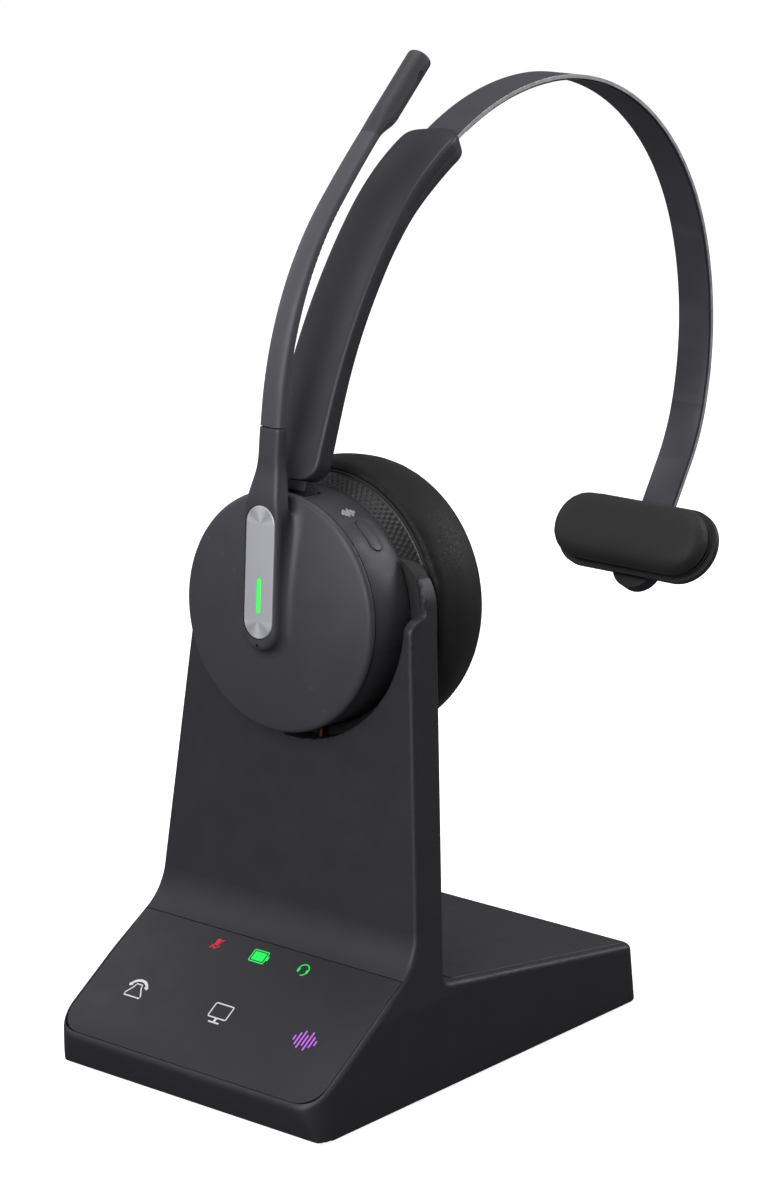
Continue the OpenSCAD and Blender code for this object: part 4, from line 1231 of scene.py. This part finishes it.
def make_temple_pad():
    """Oblong leather pad: sides pulled in at the seam, crowned face, piped edge."""
    rings = [PAD.world([(x, depth, u) for x, u in pad_outline(inset)]) for depth, inset in PAD_PROFILE]
    pad = rings_mesh("temple_pad_leather", rings, sharp=SOFT_SHARP)
    swell(pad, PAD_VOXEL)
    half_l, half_h = PAD_L / 2 + PAD_PROUD, PAD_H / 2 + PAD_PROUD
    fit_box(pad, PAD, (-half_l, -PAD_T - 0.1, -half_h), (half_l, -0.15, half_h))
    put(pad, "temple_pad", PAD_LEATHER, ["temple_pad"])
    make_piping()


def make_piping():
    """Round cord that follows the pad's outline where it meets its plate."""
    outline = pad_outline(0.3, 96)
    rings = []
    for spot, after in zip(outline, np.roll(outline, -1, 0)):
        ahead = after - spot
        length = np.linalg.norm(ahead)
        if length < 1e-6:
            continue
        out = np.array([ahead[1], -ahead[0]]) / length
        ring = []
        for a in circle_angles(8):
            x, u = spot + out * PIPING_R * math.cos(a)
            ring.append((x, -0.45 + PIPING_R * math.sin(a), u))
        rings.append(PAD.world(ring))
    piping = rings_mesh("pad_piping", rings, closed=True, sharp=SOFT_SHARP)
    put(piping, "temple_pad", SOFT_BLACK_AND_SHADE)


# ---- Icons ----
def ribbon(points, width, closed=False):
    """Flat stroke along 2D points: a list of quads with mitred joints, as (verts, faces)."""
    points = np.asarray(points, float)
    count = len(points)
    before = np.roll(points, 1, axis=0) if closed else np.vstack([points[:1], points[:-1]])
    after = np.roll(points, -1, axis=0) if closed else np.vstack([points[1:], points[-1:]])
    ahead = after - before
    ahead /= np.maximum(np.linalg.norm(ahead, axis=1, keepdims=True), 1e-9)
    out = np.stack([-ahead[:, 1], ahead[:, 0]], axis=1) * width / 2
    verts = np.concatenate([points + out, points - out])
    links = range(count if closed else count - 1)
    return verts, [(i, (i + 1) % count, (i + 1) % count + count, i + count) for i in links]


def filled(points):
    """A flat filled outline, as (verts, faces)."""
    return np.asarray(points, float), [tuple(range(len(points)))]


def arc2(cx, cy, r, a0, a1, count=14):
    return [(cx + r * x, cy + r * y) for x, y in (turn(a) for a in np.linspace(a0, a1, count))]


def icon(name, strokes, to_world, material, body):
    """A printed icon: thin raised ink from flat strokes. to_world maps (x, y, lift) to metres."""
    verts, faces = [], []
    for points, outlines in strokes:
        count = len(points)
        base = len(verts)
        verts.extend(to_world(points, 0.035))
        verts.extend(to_world(points, -0.03))
        # Edges are kept in a dict so that the rim's faces come in the same order each run
        edges = {}
        for outline in outlines:
            faces.append(tuple(base + i for i in outline))
            faces.append(tuple(base + count + i for i in outline[::-1]))
            for a, b in zip(outline, outline[1:] + outline[:1]):
                edges[(a, b)] = True
        for a, b in edges:
            if (b, a) not in edges:
                faces.append((base + a, base + count + a, base + count + b, base + b))
    put(mesh_of(name, verts, faces, 30), body, material)


def panel_spot(cx, cy):
    """Maps icon points about a spot on the touch panel: x across, y up the slope."""
    def to_world(points, lift):
        return PANEL.world([(cx + x, cy + y, lift - 0.05) for x, y in points])
    return to_world


def wall_spot(angle, depth):
    """Maps icon points onto the cup's wall: x round the wall, y along the depth axis."""
    def to_world(points, lift):
        turned_points = []
        for x, y in points:
            a = math.radians(angle) - x / CUP_WALL_R
            r = CUP_WALL_R + lift
            turned_points.append((r * math.cos(a), depth + y, r * math.sin(a)))
        return CUP.world(turned_points)
    return to_world


def wave_bars(size, width):
    """Voice icon: seven upright bars of differing height."""
    heights = (0.22, 0.55, 0.8, 0.5, 0.85, 0.5, 0.22)
    return [ribbon([((i - 3) * size / 3, -h * size), ((i - 3) * size / 3, h * size)], width)
            for i, h in enumerate(heights)]


def phone_icon():
    left = [(-0.9, 1.2), (-1.3, 0), (-2.6, -2.0), (-2.6, -2.7)]
    body = left + [(-x, y) for x, y in left[::-1]]
    handset = [ribbon(arc2(0, -0.5, 2.9, 150, 30), 0.75)]
    for side in (-1, 1):
        handset.append(ribbon([(side * 2.75, 1.1), (side * 2.35, 0.35)], 1.1))
    return handset + [ribbon(body, 0.36, True)]


def screen_icon():
    frame_line = ribbon(rounded(box2(-2.9, -1.5, 2.9, 2.7), 0.45, 4), 0.36, True)
    return [frame_line, ribbon([(0, -1.6), (0, -2.8)], 0.7), ribbon([(-1.7, -2.9), (1.7, -2.9)], 0.42)]


def mute_icon():
    capsule = filled(rounded(box2(-0.65, -0.4, 0.65, 1.7), 0.6, 5))
    cradle = ribbon(arc2(0, 0.1, 1.2, 200, 340), 0.3)
    return [capsule, cradle, ribbon([(0, -1.1), (0, -1.7)], 0.35), ribbon([(-1.5, -1.5), (1.5, 1.7)], 0.34)]


def battery_icon():
    cell = filled(rounded(box2(-2.0, -1.3, 1.7, 1.3), 0.3, 3))
    case = ribbon(rounded(box2(-2.5, -1.75, 2.2, 1.75), 0.4, 3), 0.3, True)
    return [cell, case, ribbon([(2.3, 0), (2.9, 0)], 1.3)]


def headset_icon():
    band = ribbon(arc2(0, 0, 1.55, 220, -40, 22), 0.3)
    pads = [ribbon([(x, -0.9), (x, 0.2)], 0.6) for x in (-1.35, 1.35)]
    return [band, *pads, ribbon([(1.15, -1.0), (0.7, -1.6), (0, -1.7)], 0.28)]


def make_icons():
    """Six lit icons on the touch panel, and one printed icon on the cup's wall whose ink has a faint painted
    glow.
    """
    white = glow_material("icon_white", (205, 205, 210), 0.35)
    green = glow_material("icon_green", (16, 215, 80), 0.75)
    red = glow_material("icon_red", (190, 28, 50), 0.7)
    purple = glow_material("icon_purple", (170, 90, 205), 0.8)
    for name, strokes, spot, material in (
        ("icon_phone", phone_icon(), (-27.6, 18.3), white),
        ("icon_screen", screen_icon(), (0.2, 18.4), white),
        ("icon_wave", wave_bars(3.3, 0.44), (28.0, 18.3), purple),
        ("icon_mute", mute_icon(), (-14.5, 36.9), red),
        ("icon_battery", battery_icon(), (-0.2, 36.9), green),
        ("icon_headset", headset_icon(), (14.3, 36.9), green),
    ):
        icon(name, strokes, panel_spot(*spot), material, "stand")
    # The cup's printed ink has nothing lit behind it: its faint glow is painted light.
    ink = glow_material("icon_ink_painted_glow", (215, 215, 220), 0.2)
    bars = [(np.stack([p[:, 1], p[:, 0] * 1.2], axis=1), f) for p, f in wave_bars(1.75, 0.24)]
    icon("icon_cup_wave", bars, wall_spot(60.8, 8.2), ink, "ear_cup")


# ---- Studio ----
def floor_material():
    """White to the camera, and dim to the object so that its underside stays dark."""
    paint = Paint("floor")
    paint.tree.nodes.remove(paint.shader)
    seen = paint.node("BsdfDiffuse", {"Color": (0.9, 0.9, 0.9)})
    glow = paint.node("Emission", {"Color": (1, 1, 1), "Strength": 0.85})
    bright = paint.node("AddShader", {0: seen.outputs[0], 1: glow.outputs[0]})
    dim = paint.node("BsdfDiffuse", {"Color": (0.12, 0.12, 0.125)})
    to_camera = paint.node("LightPath").outputs["Is Camera Ray"]
    mix = paint.node("MixShader", {0: to_camera, 1: dim.outputs[0], 2: bright.outputs[0]})
    paint.feed(paint.out.inputs["Surface"], mix.outputs[0])
    return paint.material


def make_floor():
    mesh = bpy.data.meshes.new("floor")
    corners = box2(-FLOOR_REACH, -FLOOR_REACH, FLOOR_REACH, FLOOR_REACH)
    mesh.from_pydata([(x, y, 0) for x, y in corners], [], [(0, 1, 2, 3)])
    mesh.materials.append(floor_material())
    link(mesh, "floor")


def area_light(name, spot, size, power):
    data = bpy.data.lights.new(name, "AREA")
    data.shape = "DISK"
    data.size = size
    data.energy = power
    lamp_object = link(data, name)
    lamp_object.location = spot
    lamp_object.rotation_euler = (Vector(LIGHT_AIM) - Vector(spot)).to_track_quat("-Z", "Y").to_euler()


def make_studio():
    """Soft lights, and a world that is white to the camera and dim to the object."""
    world = bpy.data.worlds.new("studio")
    world.use_nodes = True
    tree = world.node_tree
    sky = tree.nodes["Background"]
    sky.inputs["Color"].default_value = (1, 1, 1, 1)
    seen = tree.nodes.new("ShaderNodeMapRange")
    seen.inputs["To Min"].default_value = ROOM_GLOW
    seen.inputs["To Max"].default_value = 1.0
    tree.links.new(tree.nodes.new("ShaderNodeLightPath").outputs["Is Camera Ray"], seen.inputs["Value"])
    tree.links.new(seen.outputs[0], sky.inputs["Strength"])
    bpy.context.scene.world = world
    bpy.context.scene.view_settings.view_transform = "Standard"
    for light in LIGHTS:
        area_light(*light)


def make_camera():
    data = bpy.data.cameras.new("camera")
    data.sensor_fit = "AUTO"
    data.sensor_width = 36
    data.lens = CAMERA_LENS
    data.clip_start, data.clip_end = 0.05, 50
    camera = link(data, "camera")
    azimuth, elevation = math.radians(CAMERA_AZIMUTH), math.radians(CAMERA_ELEVATION)
    level = math.cos(elevation)
    look = Vector((-math.sin(azimuth) * level, math.cos(azimuth) * level, -math.sin(elevation)))
    camera.location = CAMERA_AT
    camera.rotation_euler = look.to_track_quat("-Z", "Y").to_euler()
    bpy.context.scene.camera = camera


dress_cad_nodes()
make_stand()
make_pin_springs()
make_disc()
make_pill()
make_vent_ring()
make_ear_cushion()
make_boom()
make_arm()
make_band()
make_temple_pad()
make_icons()
make_floor()
make_studio()
make_camera()
